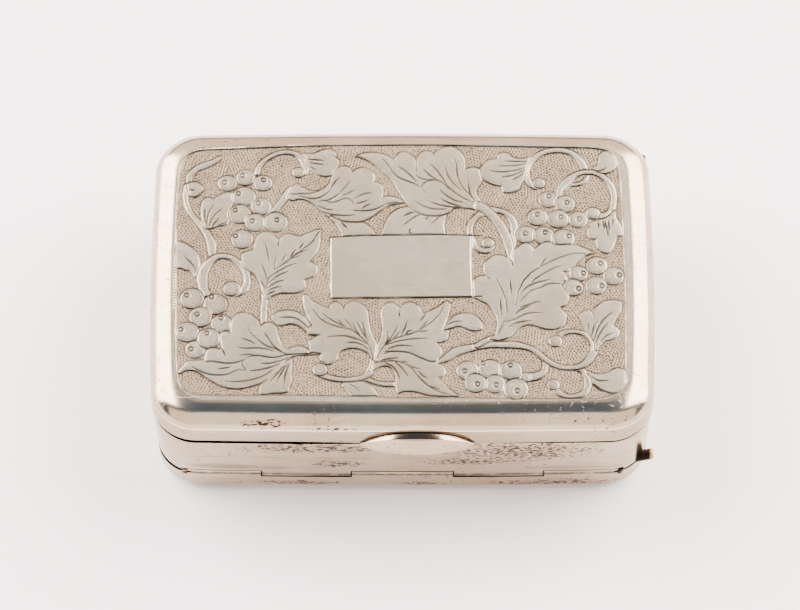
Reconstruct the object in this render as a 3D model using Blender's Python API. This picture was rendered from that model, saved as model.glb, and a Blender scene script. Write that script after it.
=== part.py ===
# Double-lidded vinaigrette box in silver.
# The lid is hinged at the back and covers a sponge under a pierced, hinged grille.
# A second, shallow lid is hinged at the front of the base and closes a compartment below.
# Metres, +Z up, +X to the right, the front faces -Y.
# The origin is the middle of the flat underside.

import math

import bmesh
import bpy
from mathutils.geometry import delaunay_2d_cdt

for old_object in list(bpy.data.objects):
    bpy.data.objects.remove(old_object, do_unlink=True)

# Plan of the box over the lid, the largest outline: straight sides that bow out a little
BOX_WIDTH = 0.0420
BOX_DEPTH = 0.0289
CORNER_RADIUS = 0.0035
SIDE_BOW = 0.0004
FRONT_BOW = 0.00025
LEAST_CORNER = 0.0002

# Heights of the three stages, seam to seam
BASE_LID_HEIGHT = 0.0031
BODY_HEIGHT = 0.00565
LID_HEIGHT = 0.00368

# Sheet silver and the gap left in each seam
WALL = 0.0005
SEAM_GAP = 0.00008

# Lid: a rounding that meets the upright rim in a crisp line
LID_ROUND = 0.00195
LID_ROUND_SWEEP = 78.0

# Body: set back from the lid's face, and drawn in towards the lower seam
BODY_SETBACK = 0.0001
BODY_TAPER = 0.00025

# Base lid: its face draws in further, down to a rounded under-edge
BASE_ROUND = 0.00145
BASE_DRAW = 0.0001

# Flush hinges of the two lids: how far the axis lies behind the face, tube, bore and pin
HINGE_INSET = 0.00045
KNUCKLE_RADIUS = 0.0005
PIN_RADIUS = 0.00025
PIN_CLEARANCE = 0.00003
KNUCKLE_CLEARANCE = 0.00005
KNUCKLE_END_GAP = 0.00006
HINGE_OVER_CORNER = 0.00085
KNUCKLE_PROUD = 0.00015
RELIEF_INSIDE = 0.00008
BEARER_CLEARANCE = 0.0001
KNUCKLE_DIVISION_SHARES = (0.237, 0.655)

# Right ends of the hinge pins: bent inward and swaged, they stand out of the corner,
# short of the box's full width by so much
BASE_PLUG_RADIUS = 0.00047
BASE_PLUG_BEND = 0.0009
BASE_PLUG_SHORT = 0.0001
LID_PLUG_RADIUS = 0.00036
LID_PLUG_BEND = 0.0006
LID_PLUG_SHORT = 0.0004
PLUG_ROUNDING = 0.00012

# Inner compartment: liner with its raised bezel, partition, lower bezel
LINER_WALL = 0.0003
LINER_FIT = 0.00003
LINER_RISE = 0.0009
PARTITION_BOTTOM = 0.0047
PARTITION_THICKNESS = 0.0004
LOWER_BEZEL_DROP = 0.00085
BEZEL_CLEARANCE = 0.00008
BEZEL_HINGE_STOP = 0.0042

# Pierced grille: how far it lies under the upper seam, its plate and its hinge
GRILLE_SINK = 0.00055
GRILLE_THICKNESS = 0.00035
GRILLE_CLEARANCE = 0.00012
GRILLE_KNUCKLE_RADIUS = 0.0004
GRILLE_PIN_RADIUS = 0.000175
GRILLE_HINGE_HALF_LENGTH = 0.0050
GRILLE_KNUCKLE_HALF_LENGTH = 0.0018
GRILLE_BACK_GAP = 0.0001
GRILLE_BACK_CORNER = 0.0040
GRILLE_BORDER = 0.0011
GRILLE_WEB = 0.00032
LEDGE_WIDTH = 0.0006
LEDGE_HEIGHT = 0.00045
LEDGE_GAP = 0.00005
TAB_HALF_WIDTH = 0.0022
TAB_DEPTH = 0.0007
TAB_HEIGHT = 0.0004

# Holes of the grille: rosette, scrolls with their eyes and leaves, round holes between
ROSETTE_PETALS = 6
ROSETTE_START = 0.0012
PETAL_LENGTH = 0.0022
PETAL_WIDTH = 0.0012
SCROLL_RADIUS = 0.0041
SCROLL_END_RADIUS = 0.0011
SCROLL_SLOT = 0.00075
SCROLL_SLOT_END = 0.0004
SCROLL_TURNS_DEG = 430.0
SCROLL_TIGHTENING = 0.8
SCROLL_PLACE_SHARES = ((0.41, 0.46, 1.0), (0.81, 0.50, 0.66))
LEAF_LENGTH = 0.0014
LEAF_WIDTH = 0.0008
LEAF_GAP = 0.0005
LEAVES_ROUND_SCROLL = 12
FILL_HOLE = 0.00045
FILL_PITCH = 0.0019

# Sponge in the inner compartment
SPONGE_CLEARANCE = 0.0001
SPONGE_TOP_GAP = 0.00025
SPONGE_ROUND = 0.0006

# Lens-shaped lips: thumbpiece on the lid, lift on the base lid
THUMB_CENTRE_X = 0.00125
THUMB_HALF_WIDTH = 0.00475
THUMB_REACH = 0.0011
THUMB_HEIGHT = 0.0019
LIFT_HALF_WIDTH = 0.0036
LIFT_REACH = 0.0008
LIFT_HEIGHT = 0.0012
LIP_GAP = 0.00003
LIP_RIDGE_SHARE = 0.52
LIP_TIP_SHARE = 0.06
LIP_FULLNESS = 0.75

# How finely curves are stepped
CORNER_STEPS = 7
LONG_SIDE_STEPS = 8
SHORT_SIDE_STEPS = 5
ROUND_STEPS = 6
KNUCKLE_SIDES = 16
LIP_STEPS = 14
SCROLL_STEPS = 24
PETAL_SIDES = 10
LEAF_SIDES = 6
HOLE_SIDES = 6
QUARTER_TURN = 90.0
HALF_TURN = 180.0
FULL_TURN = 360.0

# How far cutters pass the faces that they cut
OVERRUN = 0.001
SHARP_EDGE_DEG = 28.0

# Levels worked out from the heights
LOWER_SEAM_Z = BASE_LID_HEIGHT
UPPER_SEAM_Z = LOWER_SEAM_Z + BODY_HEIGHT
LID_TOP_Z = UPPER_SEAM_Z + LID_HEIGHT
PARTITION_TOP_Z = PARTITION_BOTTOM + PARTITION_THICKNESS
LINER_TOP_Z = UPPER_SEAM_Z + LINER_RISE
GRILLE_TOP_Z = UPPER_SEAM_Z - GRILLE_SINK
GRILLE_BOTTOM_Z = GRILLE_TOP_Z - GRILLE_THICKNESS
LEDGE_TOP_Z = GRILLE_BOTTOM_Z - LEDGE_GAP

# Half length of the flush hinges: it runs a little way round the corners
HINGE_HALF = BOX_WIDTH / 2 - SIDE_BOW - CORNER_RADIUS + HINGE_OVER_CORNER
RELIEF_HALF_HEIGHT = KNUCKLE_RADIUS + KNUCKLE_CLEARANCE


def rounded_plan(half_width, half_depth, front_radius, middle_y=0.0, back_radius=None):
    # Rounded rectangle, anticlockwise from the front right corner, with bowed sides
    flat_x = half_width - SIDE_BOW
    flat_y = half_depth - FRONT_BOW
    radii = {-1: max(front_radius, LEAST_CORNER), 1: max(back_radius or front_radius, LEAST_CORNER)}
    corners = ((1, -1), (1, 1), (-1, 1), (-1, -1))
    run_steps = (SHORT_SIDE_STEPS, LONG_SIDE_STEPS, SHORT_SIDE_STEPS, LONG_SIDE_STEPS)
    arcs = []
    for index, (side_x, side_y) in enumerate(corners):
        arc = []
        radius = radii[side_y]
        for step in range(CORNER_STEPS + 1):
            turn = math.radians(QUARTER_TURN * (index - 1 + step / CORNER_STEPS))
            x = side_x * (flat_x - radius) + radius * math.cos(turn)
            y = side_y * (flat_y - radius) + radius * math.sin(turn)
            arc.append((x, y))
        arcs.append(arc)
    points = []
    for index, arc in enumerate(arcs):
        points.extend(arc)
        end_x, end_y = arc[-1]
        next_x, next_y = arcs[(index + 1) % len(arcs)][0]
        for step in range(1, run_steps[index]):
            share = step / run_steps[index]
            points.append((end_x + (next_x - end_x) * share, end_y + (next_y - end_y) * share))
    bowed = []
    for x, y in points:
        bow_x = 1 + SIDE_BOW / flat_x * (1 - (y / flat_y) ** 2)
        bow_y = 1 + FRONT_BOW / flat_y * (1 - (x / flat_x) ** 2)
        bowed.append((x * bow_x, y * bow_y + middle_y))
    return bowed


def ring(inset, radius, z):
    # One level of a shell: the lid's outline drawn in by an inset
    plan = rounded_plan(BOX_WIDTH / 2 - inset, BOX_DEPTH / 2 - inset, radius)
    return [(x, y, z) for x, y in plan]


def face_y(x, inset):
    # How far the long face lies from the middle at a given place along it
    flat_x = BOX_WIDTH / 2 - inset - SIDE_BOW
    return BOX_DEPTH / 2 - inset - FRONT_BOW * (x / flat_x) ** 2


def body_inset(z):
    # The body's face behind the lid's outline, at a height
    share = min(max((UPPER_SEAM_Z - z) / BODY_HEIGHT, 0), 1)
    return BODY_SETBACK + BODY_TAPER * share


def base_inset(z):
    # The base lid's face behind the lid's outline, at a height above its rounding
    share = (LOWER_SEAM_Z - z) / (BASE_LID_HEIGHT - BASE_ROUND)
    return BODY_SETBACK + BODY_TAPER + BASE_DRAW * share


LID_AXIS_Y = BOX_DEPTH / 2 - HINGE_INSET
BASE_AXIS_Y = HINGE_INSET + body_inset(LOWER_SEAM_Z) - BOX_DEPTH / 2
LINER_INNER_INSET = body_inset(GRILLE_TOP_Z) + WALL + LINER_FIT + LINER_WALL
GRILLE_AXIS_Y = BOX_DEPTH / 2 - LINER_INNER_INSET - KNUCKLE_CLEARANCE - GRILLE_KNUCKLE_RADIUS
GRILLE_AXIS_Z = GRILLE_TOP_Z - GRILLE_THICKNESS / 2


def loft(rings, cyclic=False):
    # Skin a row of rings that have equal counts, capped at both ends unless it closes on itself
    shape = bmesh.new()
    rows = [[shape.verts.new(point) for point in points] for points in rings]
    pairs = list(zip(rows, rows[1:]))
    if cyclic:
        pairs.append((rows[-1], rows[0]))
    for lower, upper in pairs:
        for index in range(len(lower)):
            after = (index + 1) % len(lower)
            shape.faces.new((lower[index], lower[after], upper[after], upper[index]))
    if not cyclic:
        shape.faces.new(rows[0])
        shape.faces.new(rows[-1])
    bmesh.ops.recalc_face_normals(shape, faces=shape.faces)
    return shape


def make_material(name, finish):
    # Principled material from a finish: colour, roughness and metallic value
    colour, roughness, metallic = finish
    material = bpy.data.materials.new(name)
    material.use_nodes = True
    shader = material.node_tree.nodes["Principled BSDF"]
    shader.inputs["Base Color"].default_value = (*colour, 1.0)
    shader.inputs["Roughness"].default_value = roughness
    shader.inputs["Metallic"].default_value = metallic
    return material


SILVER = ((0.72, 0.68, 0.63), 0.28, 1.0)
GILT = ((0.83, 0.62, 0.30), 0.25, 1.0)
BRASS = ((0.45, 0.34, 0.20), 0.45, 1.0)
SPONGE = ((0.62, 0.47, 0.28), 0.95, 0.0)


def make_object(name, shape, finish, carrier=None, place=(0, 0, 0)):
    # Turn a bmesh into a shaded object with its own material, on its hinge axis if it moves
    mesh = bpy.data.meshes.new(name)
    shape.to_mesh(mesh)
    shape.free()
    mesh.shade_smooth()
    mesh.set_sharp_from_angle(angle=math.radians(SHARP_EDGE_DEG))
    piece = bpy.data.objects.new(name, mesh)
    bpy.context.scene.collection.objects.link(piece)
    mesh.materials.append(make_material(name + "_finish", finish))
    piece.location = place
    if carrier is not None:
        piece.parent = carrier
        piece.location = [place[axis] - carrier.location[axis] for axis in range(3)]
    return piece


def make_axis(name, place):
    # Empty on a hinge axis, which carries the pieces that turn about it
    axis = bpy.data.objects.new(name, None)
    bpy.context.scene.collection.objects.link(axis)
    axis.location = place
    return axis


def make_cutter(name, shape):
    # Helper solid for a Boolean, left out of the part
    mesh = bpy.data.meshes.new(name)
    shape.to_mesh(mesh)
    shape.free()
    cutter = bpy.data.objects.new(name, mesh)
    bpy.context.scene.collection.objects.link(cutter)
    cutter.hide_render = True
    cutter.display_type = "WIRE"
    return cutter


def make_box_cutter(name, low, high):
    # Box between two corners
    corners = ((low[0], low[1]), (high[0], low[1]), (high[0], high[1]), (low[0], high[1]))
    rings = [[(x, y, z) for x, y in corners] for z in (low[2], high[2])]
    return make_cutter(name, loft(rings))


def apply_boolean(piece, cutter, operation="DIFFERENCE"):
    # Keep the Boolean as a live modifier with the exact solver
    modifier = piece.modifiers.new(cutter.name, "BOOLEAN")
    modifier.operation = operation
    modifier.solver = "EXACT"
    modifier.object = cutter


lid_axis = make_axis("lid_hinge_axis", (0, LID_AXIS_Y, UPPER_SEAM_Z))
base_axis = make_axis("base_hinge_axis", (0, BASE_AXIS_Y, LOWER_SEAM_Z))
grille_axis = make_axis("grille_hinge_axis", (0, GRILLE_AXIS_Y, GRILLE_AXIS_Z))


def rounded_shell(edge_inset, edge_z, rim_inset, radius, sweep_deg, upwards):
    # Pan with a rounded edge: outer levels from the flat to the open edge, then the inner ones
    sweep = math.radians(sweep_deg)
    centre_inset = rim_inset + radius * math.sin(sweep)
    flat_z = LID_TOP_Z if upwards else 0
    toward_flat = 1 if upwards else -1
    centre_z = flat_z - toward_flat * radius
    corner = CORNER_RADIUS - rim_inset
    outer = []
    inner = []
    for step in range(ROUND_STEPS + 1):
        turn = sweep * step / ROUND_STEPS
        reach = centre_inset - radius * math.sin(turn)
        height = centre_z + toward_flat * radius * math.cos(turn)
        step_corner = corner - (reach - rim_inset) / 2
        outer.append(ring(reach, step_corner, height))
        inner_reach = centre_inset - (radius - WALL) * math.sin(turn)
        inner_height = centre_z + toward_flat * (radius - WALL) * math.cos(turn)
        inner.append(ring(inner_reach, step_corner - (inner_reach - reach), inner_height))
    wall_here = WALL * math.sin(sweep)
    outer.append(ring(edge_inset, corner, edge_z))
    inner.append(ring(edge_inset + wall_here, corner - wall_here, edge_z))
    return loft(outer + inner[::-1])


def side_band(levels, thickness):
    # Upright band through levels of (inset, z), with the same thickness all the way
    outer = [ring(inset, CORNER_RADIUS - inset, z) for inset, z in levels]
    inner = []
    for inset, z in reversed(levels):
        inner.append(ring(inset + thickness, CORNER_RADIUS - inset - thickness, z))
    return loft(outer + inner, cyclic=True)


def lip(centre_x, half_width, reach, height, inset, side, upwards, seam_z):
    # Lens-shaped lip against a long face: a level ledge next to the seam side and a sloping front
    rings = []
    rise = 1 if upwards else -1
    near_z = seam_z + rise * (SEAM_GAP / 2 + LIP_GAP)
    for step in range(LIP_STEPS + 1):
        along = 2 * step / LIP_STEPS - 1
        x = centre_x + half_width * along
        bulge = max(1 - along * along, 0) ** LIP_FULLNESS * (1 - LIP_TIP_SHARE) + LIP_TIP_SHARE
        back = face_y(x, inset) + LIP_GAP
        front = back + reach * bulge
        ridge = back + reach * bulge * LIP_RIDGE_SHARE
        shoulder = (front + ridge) / 2 + reach * bulge * LIP_TIP_SHARE
        far_z = near_z + rise * height * bulge
        middle_z = (near_z + far_z) / 2
        profile = ((back, near_z), (front, near_z), (shoulder, middle_z), (ridge, far_z), (back, far_z))
        rings.append([(x, side * y, z) for y, z in profile])
    return loft(rings)


def tube(x_low, x_high, outer, bore):
    # Hinge knuckle along X about its own axis
    def circle(x, radius):
        points = []
        for step in range(KNUCKLE_SIDES):
            turn = math.radians(FULL_TURN * step / KNUCKLE_SIDES)
            points.append((x, radius * math.cos(turn), radius * math.sin(turn)))
        return points

    rings = [circle(x_low, outer), circle(x_high, outer), circle(x_high, bore), circle(x_low, bore)]
    return loft(rings, True)


def round_pin(stations):
    # Round pin along X through stations of (x, offset towards +Y, radius)
    rings = []
    for x, offset, radius in stations:
        points = []
        for step in range(KNUCKLE_SIDES):
            turn = math.radians(FULL_TURN * (step + 1 / 2) / KNUCKLE_SIDES)
            points.append((x, offset + radius * math.cos(turn), radius * math.sin(turn)))
        rings.append(points)
    return loft(rings)


def bore_radius(pin_radius):
    # Corner radius of a faceted bore whose flats still clear the pin
    return (pin_radius + PIN_CLEARANCE) / math.cos(math.pi / KNUCKLE_SIDES)


# Shells of the lid and of the base lid, and the body band between them
lid_shell = make_object(
    "lid_shell",
    rounded_shell(0, UPPER_SEAM_Z + SEAM_GAP / 2, 0, LID_ROUND, LID_ROUND_SWEEP, True),
    SILVER, lid_axis)
base_shell = make_object(
    "base_lid_shell",
    rounded_shell(base_inset(LOWER_SEAM_Z), LOWER_SEAM_Z - SEAM_GAP / 2, base_inset(BASE_ROUND),
                  BASE_ROUND, QUARTER_TURN, False),
    SILVER, base_axis)
body_levels = [(body_inset(z), z) for z in (LOWER_SEAM_Z + SEAM_GAP / 2, UPPER_SEAM_Z - SEAM_GAP / 2)]
body_band = make_object("body_band", side_band(body_levels, WALL), SILVER)

# Liner of the inner compartment, which rises past the seam as a bezel
liner_levels = []
for z in (PARTITION_TOP_Z + LINER_FIT, UPPER_SEAM_Z, LINER_TOP_Z):
    liner_levels.append((body_inset(z) + WALL + LINER_FIT, z))
upper_liner = make_object("upper_liner", side_band(liner_levels, LINER_WALL), GILT)

# Partition between the two compartments, and the lower bezel that carries it
partition_rings = []
for z in (PARTITION_BOTTOM, PARTITION_TOP_Z):
    inset = body_inset(z) + WALL + LINER_FIT
    partition_rings.append(ring(inset, CORNER_RADIUS - inset, z))
make_object("partition_plate", loft(partition_rings), GILT)
bezel_bottom_z = LOWER_SEAM_Z - LOWER_BEZEL_DROP
bezel_levels = [(body_inset(PARTITION_BOTTOM) + WALL + LINER_FIT, PARTITION_BOTTOM - LINER_FIT)]
for z in (LOWER_SEAM_Z, bezel_bottom_z):
    bezel_levels.append((base_inset(z) + WALL + BEZEL_CLEARANCE, z))
lower_bezel = make_object("lower_bezel", side_band(bezel_levels, LINER_WALL), GILT)

# The bezels and liners stand this far back from the knuckles
bearer = KNUCKLE_RADIUS + BEARER_CLEARANCE
reach_x = BOX_WIDTH / 2 + OVERRUN
reach_y = BOX_DEPTH / 2 + OVERRUN


def cut_hinge_slot(name, axis, side, walls, plug_bend):
    # Relief slot along the whole side, a deeper pocket for the knuckles, and one for the bent pin end
    axis_y = axis.location.y
    low_z = axis.location.z - RELIEF_HALF_HEIGHT
    high_z = axis.location.z + RELIEF_HALF_HEIGHT
    pocket_end = HINGE_HALF + KNUCKLE_END_GAP
    slots = (
        ("relief", -reach_x, reach_x, RELIEF_INSIDE),
        ("pocket", -pocket_end, pocket_end, RELIEF_HALF_HEIGHT),
        ("pin_end", HINGE_HALF, reach_x, plug_bend + RELIEF_HALF_HEIGHT))
    for kind, left, right, inside in slots:
        near_y = axis_y - side * inside
        low = (left, min(near_y, side * reach_y), low_z)
        high = (right, max(near_y, side * reach_y), high_z)
        cutter = make_box_cutter(name + "_" + kind, low, high)
        for wall in walls:
            apply_boolean(wall, cutter)
    return cutter


lid_pin_pocket = cut_hinge_slot("lid_hinge", lid_axis, 1, (lid_shell, body_band), LID_PLUG_BEND)
base_pin_pocket = cut_hinge_slot("base_hinge", base_axis, -1, (base_shell, body_band), BASE_PLUG_BEND)

# The bezels stop short of the knuckles along the hinges
liner_relief = make_box_cutter(
    "liner_hinge_relief",
    (-reach_x, LID_AXIS_Y - bearer, UPPER_SEAM_Z - bearer),
    (reach_x, reach_y, LINER_TOP_Z + OVERRUN))
bezel_relief = make_box_cutter(
    "bezel_hinge_relief",
    (-reach_x, -reach_y, bezel_bottom_z - OVERRUN),
    (reach_x, BASE_AXIS_Y + bearer, LOWER_SEAM_Z + bearer))

# Past the seams they run along three sides only, and end before the hinge's corners
liner_stop = make_box_cutter(
    "liner_bezel_stop",
    (-reach_x, BOX_DEPTH / 2 - BEZEL_HINGE_STOP, UPPER_SEAM_Z),
    (reach_x, reach_y, LINER_TOP_Z + OVERRUN))
bezel_stop = make_box_cutter(
    "lower_bezel_stop",
    (-reach_x, -reach_y, bezel_bottom_z - OVERRUN),
    (reach_x, BEZEL_HINGE_STOP - BOX_DEPTH / 2, LOWER_SEAM_Z))
apply_boolean(upper_liner, liner_relief)
apply_boolean(upper_liner, liner_stop)
apply_boolean(upper_liner, lid_pin_pocket)
apply_boolean(lower_bezel, bezel_relief)
apply_boolean(lower_bezel, bezel_stop)
apply_boolean(lower_bezel, base_pin_pocket)


def knuckle_spans(half_length):
    # Ends of the five knuckles of a flush hinge, left to right
    inner, outer = [half_length * share for share in KNUCKLE_DIVISION_SHARES]
    edges = (-half_length, -outer, -inner, inner, outer, half_length)
    spans = []
    for low, high in zip(edges, edges[1:]):
        low_gap = KNUCKLE_END_GAP / 2 if low > -half_length else 0
        high_gap = KNUCKLE_END_GAP / 2 if high < half_length else 0
        spans.append((low + low_gap, high - high_gap))
    return spans


def flush_hinge(name, axis, face_inset, moving_name, plug_radius, plug_reach, plug_bend):
    # Five knuckles, alternately on the lid and on the body, and a pin with a thick end bent inward
    trim_levels = []
    for z in (axis.location.z - bearer, axis.location.z + bearer):
        trim_levels.append(ring(face_inset - KNUCKLE_PROUD, CORNER_RADIUS - face_inset + KNUCKLE_PROUD, z))
    trim = make_cutter(name + "_end_trim", loft(trim_levels))
    place = tuple(axis.location)
    bore = bore_radius(PIN_RADIUS)
    for index, (low, high) in enumerate(knuckle_spans(HINGE_HALF)):
        moves = index % 2 == 0
        owner = moving_name if moves else "body"
        shape = tube(low, high, KNUCKLE_RADIUS, bore)
        full_name = name + "_" + owner + "_knuckle_" + str(index // 2 + 1)
        knuckle = make_object(full_name, shape, SILVER, axis if moves else None, place)
        if index in (0, 4):
            apply_boolean(knuckle, trim, "INTERSECT")
    bend_start = HINGE_HALF + KNUCKLE_END_GAP
    plug_start = bend_start + abs(plug_bend)
    plug_end = BOX_WIDTH / 2 - plug_reach
    stations = (
        (-HINGE_HALF, 0, PIN_RADIUS), (bend_start, 0, PIN_RADIUS), (plug_start, plug_bend, plug_radius),
        (plug_end - PLUG_ROUNDING, plug_bend, plug_radius),
        (plug_end, plug_bend, plug_radius - PLUG_ROUNDING))
    make_object(name + "_pin", round_pin(stations), BRASS, None, place)


flush_hinge("lid_hinge", lid_axis, 0, "lid", LID_PLUG_RADIUS, LID_PLUG_SHORT, -LID_PLUG_BEND)
flush_hinge(
    "base_hinge", base_axis, body_inset(LOWER_SEAM_Z), "base_lid",
    BASE_PLUG_RADIUS, BASE_PLUG_SHORT, BASE_PLUG_BEND)

# Lips that the lids are opened by
make_object(
    "lid_thumbpiece",
    lip(THUMB_CENTRE_X, THUMB_HALF_WIDTH, THUMB_REACH, THUMB_HEIGHT, 0, -1, True, UPPER_SEAM_Z),
    SILVER, lid_axis)
make_object(
    "base_lid_lift",
    lip(0, LIFT_HALF_WIDTH, LIFT_REACH, LIFT_HEIGHT, base_inset(LOWER_SEAM_Z), 1, False, LOWER_SEAM_Z),
    SILVER, base_axis)

# Ledge under the grille, open at the back for the grille's hinge
ledge_outer = LINER_INNER_INSET + LINER_FIT + BODY_TAPER * (GRILLE_THICKNESS + LEDGE_HEIGHT) / BODY_HEIGHT
ledge_levels = [(ledge_outer, LEDGE_TOP_Z - LEDGE_HEIGHT), (ledge_outer, LEDGE_TOP_Z)]
grille_ledge = make_object("grille_ledge", side_band(ledge_levels, LEDGE_WIDTH), GILT)
ledge_reach = GRILLE_HINGE_HALF_LENGTH + GRILLE_KNUCKLE_RADIUS
ledge_cutter = make_box_cutter(
    "ledge_hinge_relief",
    (-ledge_reach, GRILLE_AXIS_Y - GRILLE_KNUCKLE_RADIUS - LEDGE_WIDTH, LEDGE_TOP_Z - LEDGE_HEIGHT - OVERRUN),
    (ledge_reach, reach_y, LEDGE_TOP_Z + OVERRUN))
apply_boolean(grille_ledge, ledge_cutter)

# Plan of the grille plate, shorter at the back for its hinge
grille_half_width = BOX_WIDTH / 2 - LINER_INNER_INSET - GRILLE_CLEARANCE
grille_front_y = BOX_DEPTH / 2 - LINER_INNER_INSET - GRILLE_CLEARANCE
grille_back_y = GRILLE_AXIS_Y - GRILLE_KNUCKLE_RADIUS - GRILLE_BACK_GAP
grille_half_depth = (grille_front_y + grille_back_y) / 2
grille_middle_y = (grille_back_y - grille_front_y) / 2
grille_radius = CORNER_RADIUS - LINER_INNER_INSET


def petal(centre, start, length, width, turn_deg, sides):
    # Leaf-shaped hole that points away from a centre
    turn = math.radians(turn_deg)
    outline = []
    for step in range(sides):
        around = math.radians(FULL_TURN * step / sides)
        along = start + length * (1 + math.cos(around)) / 2
        pinch = math.sin(around / 2)
        across = width * math.sin(around) * (1 + pinch) / 4
        x = centre[0] + along * math.cos(turn) - across * math.sin(turn)
        y = centre[1] + along * math.sin(turn) + across * math.cos(turn)
        outline.append((x, y))
    return outline


def round_hole(centre, radius):
    # Round hole with a few sides
    outline = []
    for step in range(HOLE_SIDES):
        turn = math.radians(FULL_TURN * step / HOLE_SIDES)
        outline.append((centre[0] + radius * math.cos(turn), centre[1] + radius * math.sin(turn)))
    return outline


def scroll_slot(centre, outer_radius, side_x, side_y, scale):
    # Tapering slot along a spiral that curls in from the rosette's side
    steps = round(SCROLL_STEPS * scale)
    left = []
    right = []
    for step in range(steps + 1):
        share = step / steps
        turn = math.radians(HALF_TURN - SCROLL_TURNS_DEG * share)
        radius = outer_radius + (SCROLL_END_RADIUS * scale - outer_radius) * share ** SCROLL_TIGHTENING
        half = (SCROLL_SLOT + (SCROLL_SLOT_END - SCROLL_SLOT) * share) * scale / 2
        if step in (0, steps):
            half /= 2
        for row, reach in ((left, radius + half), (right, radius - half)):
            x = centre[0] + side_x * reach * math.cos(turn)
            y = centre[1] + side_y * reach * math.sin(turn)
            row.append((x, y))
    return left + right[::-1]


def outline_gap(first, second):
    # Least distance from the corners of one outline to the sides of another
    least = math.inf
    for x, y in first:
        for (x0, y0), (x1, y1) in zip(second, second[1:] + second[:1]):
            along_x, along_y = x1 - x0, y1 - y0
            share = ((x - x0) * along_x + (y - y0) * along_y) / (along_x * along_x + along_y * along_y)
            share = min(max(share, 0), 1)
            least = min(least, math.hypot(x - x0 - share * along_x, y - y0 - share * along_y))
    return least


def inside_plan(outline, half_width, half_depth, radius):
    # Whether a hole keeps within the plate's border
    for x, y in outline:
        dx = max(abs(x) - (half_width - radius), 0)
        dy = max(abs(y - grille_middle_y) - (half_depth - radius), 0)
        if math.hypot(dx, dy) > radius:
            return False
    return True


def grille_holes():
    # Rosette, four pairs of scrolls with eyes and leaves, then round holes where there is room
    middle = (0, grille_middle_y)
    candidates = [round_hole(middle, ROSETTE_START / 2)]
    for index in range(ROSETTE_PETALS):
        turn = FULL_TURN * (index + 1 / 2) / ROSETTE_PETALS
        candidates.append(petal(middle, ROSETTE_START, PETAL_LENGTH, PETAL_WIDTH, turn, PETAL_SIDES))
    leaves = []
    for share_x, share_y, scale in SCROLL_PLACE_SHARES:
        for side_x in (-1, 1):
            for side_y in (-1, 1):
                centre_y = grille_middle_y + side_y * grille_half_depth * share_y
                centre = (side_x * grille_half_width * share_x, centre_y)
                radius = SCROLL_RADIUS * scale
                candidates.append(scroll_slot(centre, radius, side_x, side_y, scale))
                leaf_start = radius + SCROLL_SLOT * scale / 2 + LEAF_GAP
                for index in range(LEAVES_ROUND_SCROLL):
                    turn = FULL_TURN * index / LEAVES_ROUND_SCROLL
                    leaf = petal(centre, leaf_start, LEAF_LENGTH, LEAF_WIDTH, turn, LEAF_SIDES)
                    leaves.append([
                        (centre[0] + side_x * (x - centre[0]), centre[1] + side_y * (y - centre[1]))
                        for x, y in leaf])
    candidates.extend(leaves)
    columns = int(grille_half_width / FILL_PITCH)
    rows = int(grille_half_depth / FILL_PITCH)
    for row in range(-rows, rows + 1):
        for column in range(-columns - row % 2, columns + 1):
            x = FILL_PITCH * (column + row % 2 / 2)
            y = grille_middle_y + FILL_PITCH * row
            candidates.append(round_hole((x, y), FILL_HOLE))
    border = GRILLE_BORDER
    kept = []
    for outline in candidates:
        if not inside_plan(outline, grille_half_width - SIDE_BOW - border,
                           grille_half_depth - FRONT_BOW - border, max(grille_radius, border)):
            continue
        near = [hole for hole in kept if math.dist(hole[0], outline[0]) < 2 * SCROLL_RADIUS + LEAF_LENGTH]
        if all(outline_gap(outline, hole) > GRILLE_WEB for hole in near):
            kept.append(outline)
    return kept


def holds_point(outline, x, y):
    # Whether a point lies inside a closed outline
    inside = False
    for (x0, y0), (x1, y1) in zip(outline, outline[1:] + outline[:1]):
        if (y0 > y) != (y1 > y) and x < x0 + (x1 - x0) * (y - y0) / (y1 - y0):
            inside = not inside
    return inside


def pierced_plate(plan, holes, low_z, high_z):
    # Flat plate cut through by holes: a constrained triangulation, then extruded
    points = list(plan)
    edges = [(index, (index + 1) % len(plan)) for index in range(len(plan))]
    for hole in holes:
        start = len(points)
        points.extend(hole)
        edges.extend((start + index, start + (index + 1) % len(hole)) for index in range(len(hole)))
    unit = math.dist(*plan[:2])
    scaled = [(x / unit, y / unit) for x, y in points]
    boxes = []
    for hole in holes:
        across, along = zip(*hole)
        boxes.append((min(across), max(across), min(along), max(along)))
    flat_points, _, faces, *_ = delaunay_2d_cdt(scaled, edges, [], 1, 1e-6)
    shape = bmesh.new()
    corners = [shape.verts.new((point.x * unit, point.y * unit, low_z)) for point in flat_points]
    for face in faces:
        x = sum(flat_points[index].x for index in face) * unit / len(face)
        y = sum(flat_points[index].y for index in face) * unit / len(face)
        near = [hole for hole, box in zip(holes, boxes) if box[0] < x < box[1] and box[2] < y < box[3]]
        if not any(holds_point(hole, x, y) for hole in near):
            shape.faces.new([corners[index] for index in face])
    raised = bmesh.ops.extrude_face_region(shape, geom=shape.faces[:], use_keep_orig=True)
    lifted = [item for item in raised["geom"] if isinstance(item, bmesh.types.BMVert)]
    bmesh.ops.translate(shape, verts=lifted, vec=(0, 0, high_z - low_z))
    bmesh.ops.recalc_face_normals(shape, faces=shape.faces)
    return shape


grille_plan = rounded_plan(
    grille_half_width, grille_half_depth, grille_radius, grille_middle_y, GRILLE_BACK_CORNER)
holes = grille_holes()
grille_plate = make_object(
    "grille_plate", pierced_plate(grille_plan, holes, GRILLE_BOTTOM_Z, GRILLE_TOP_Z), GILT, grille_axis)

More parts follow.
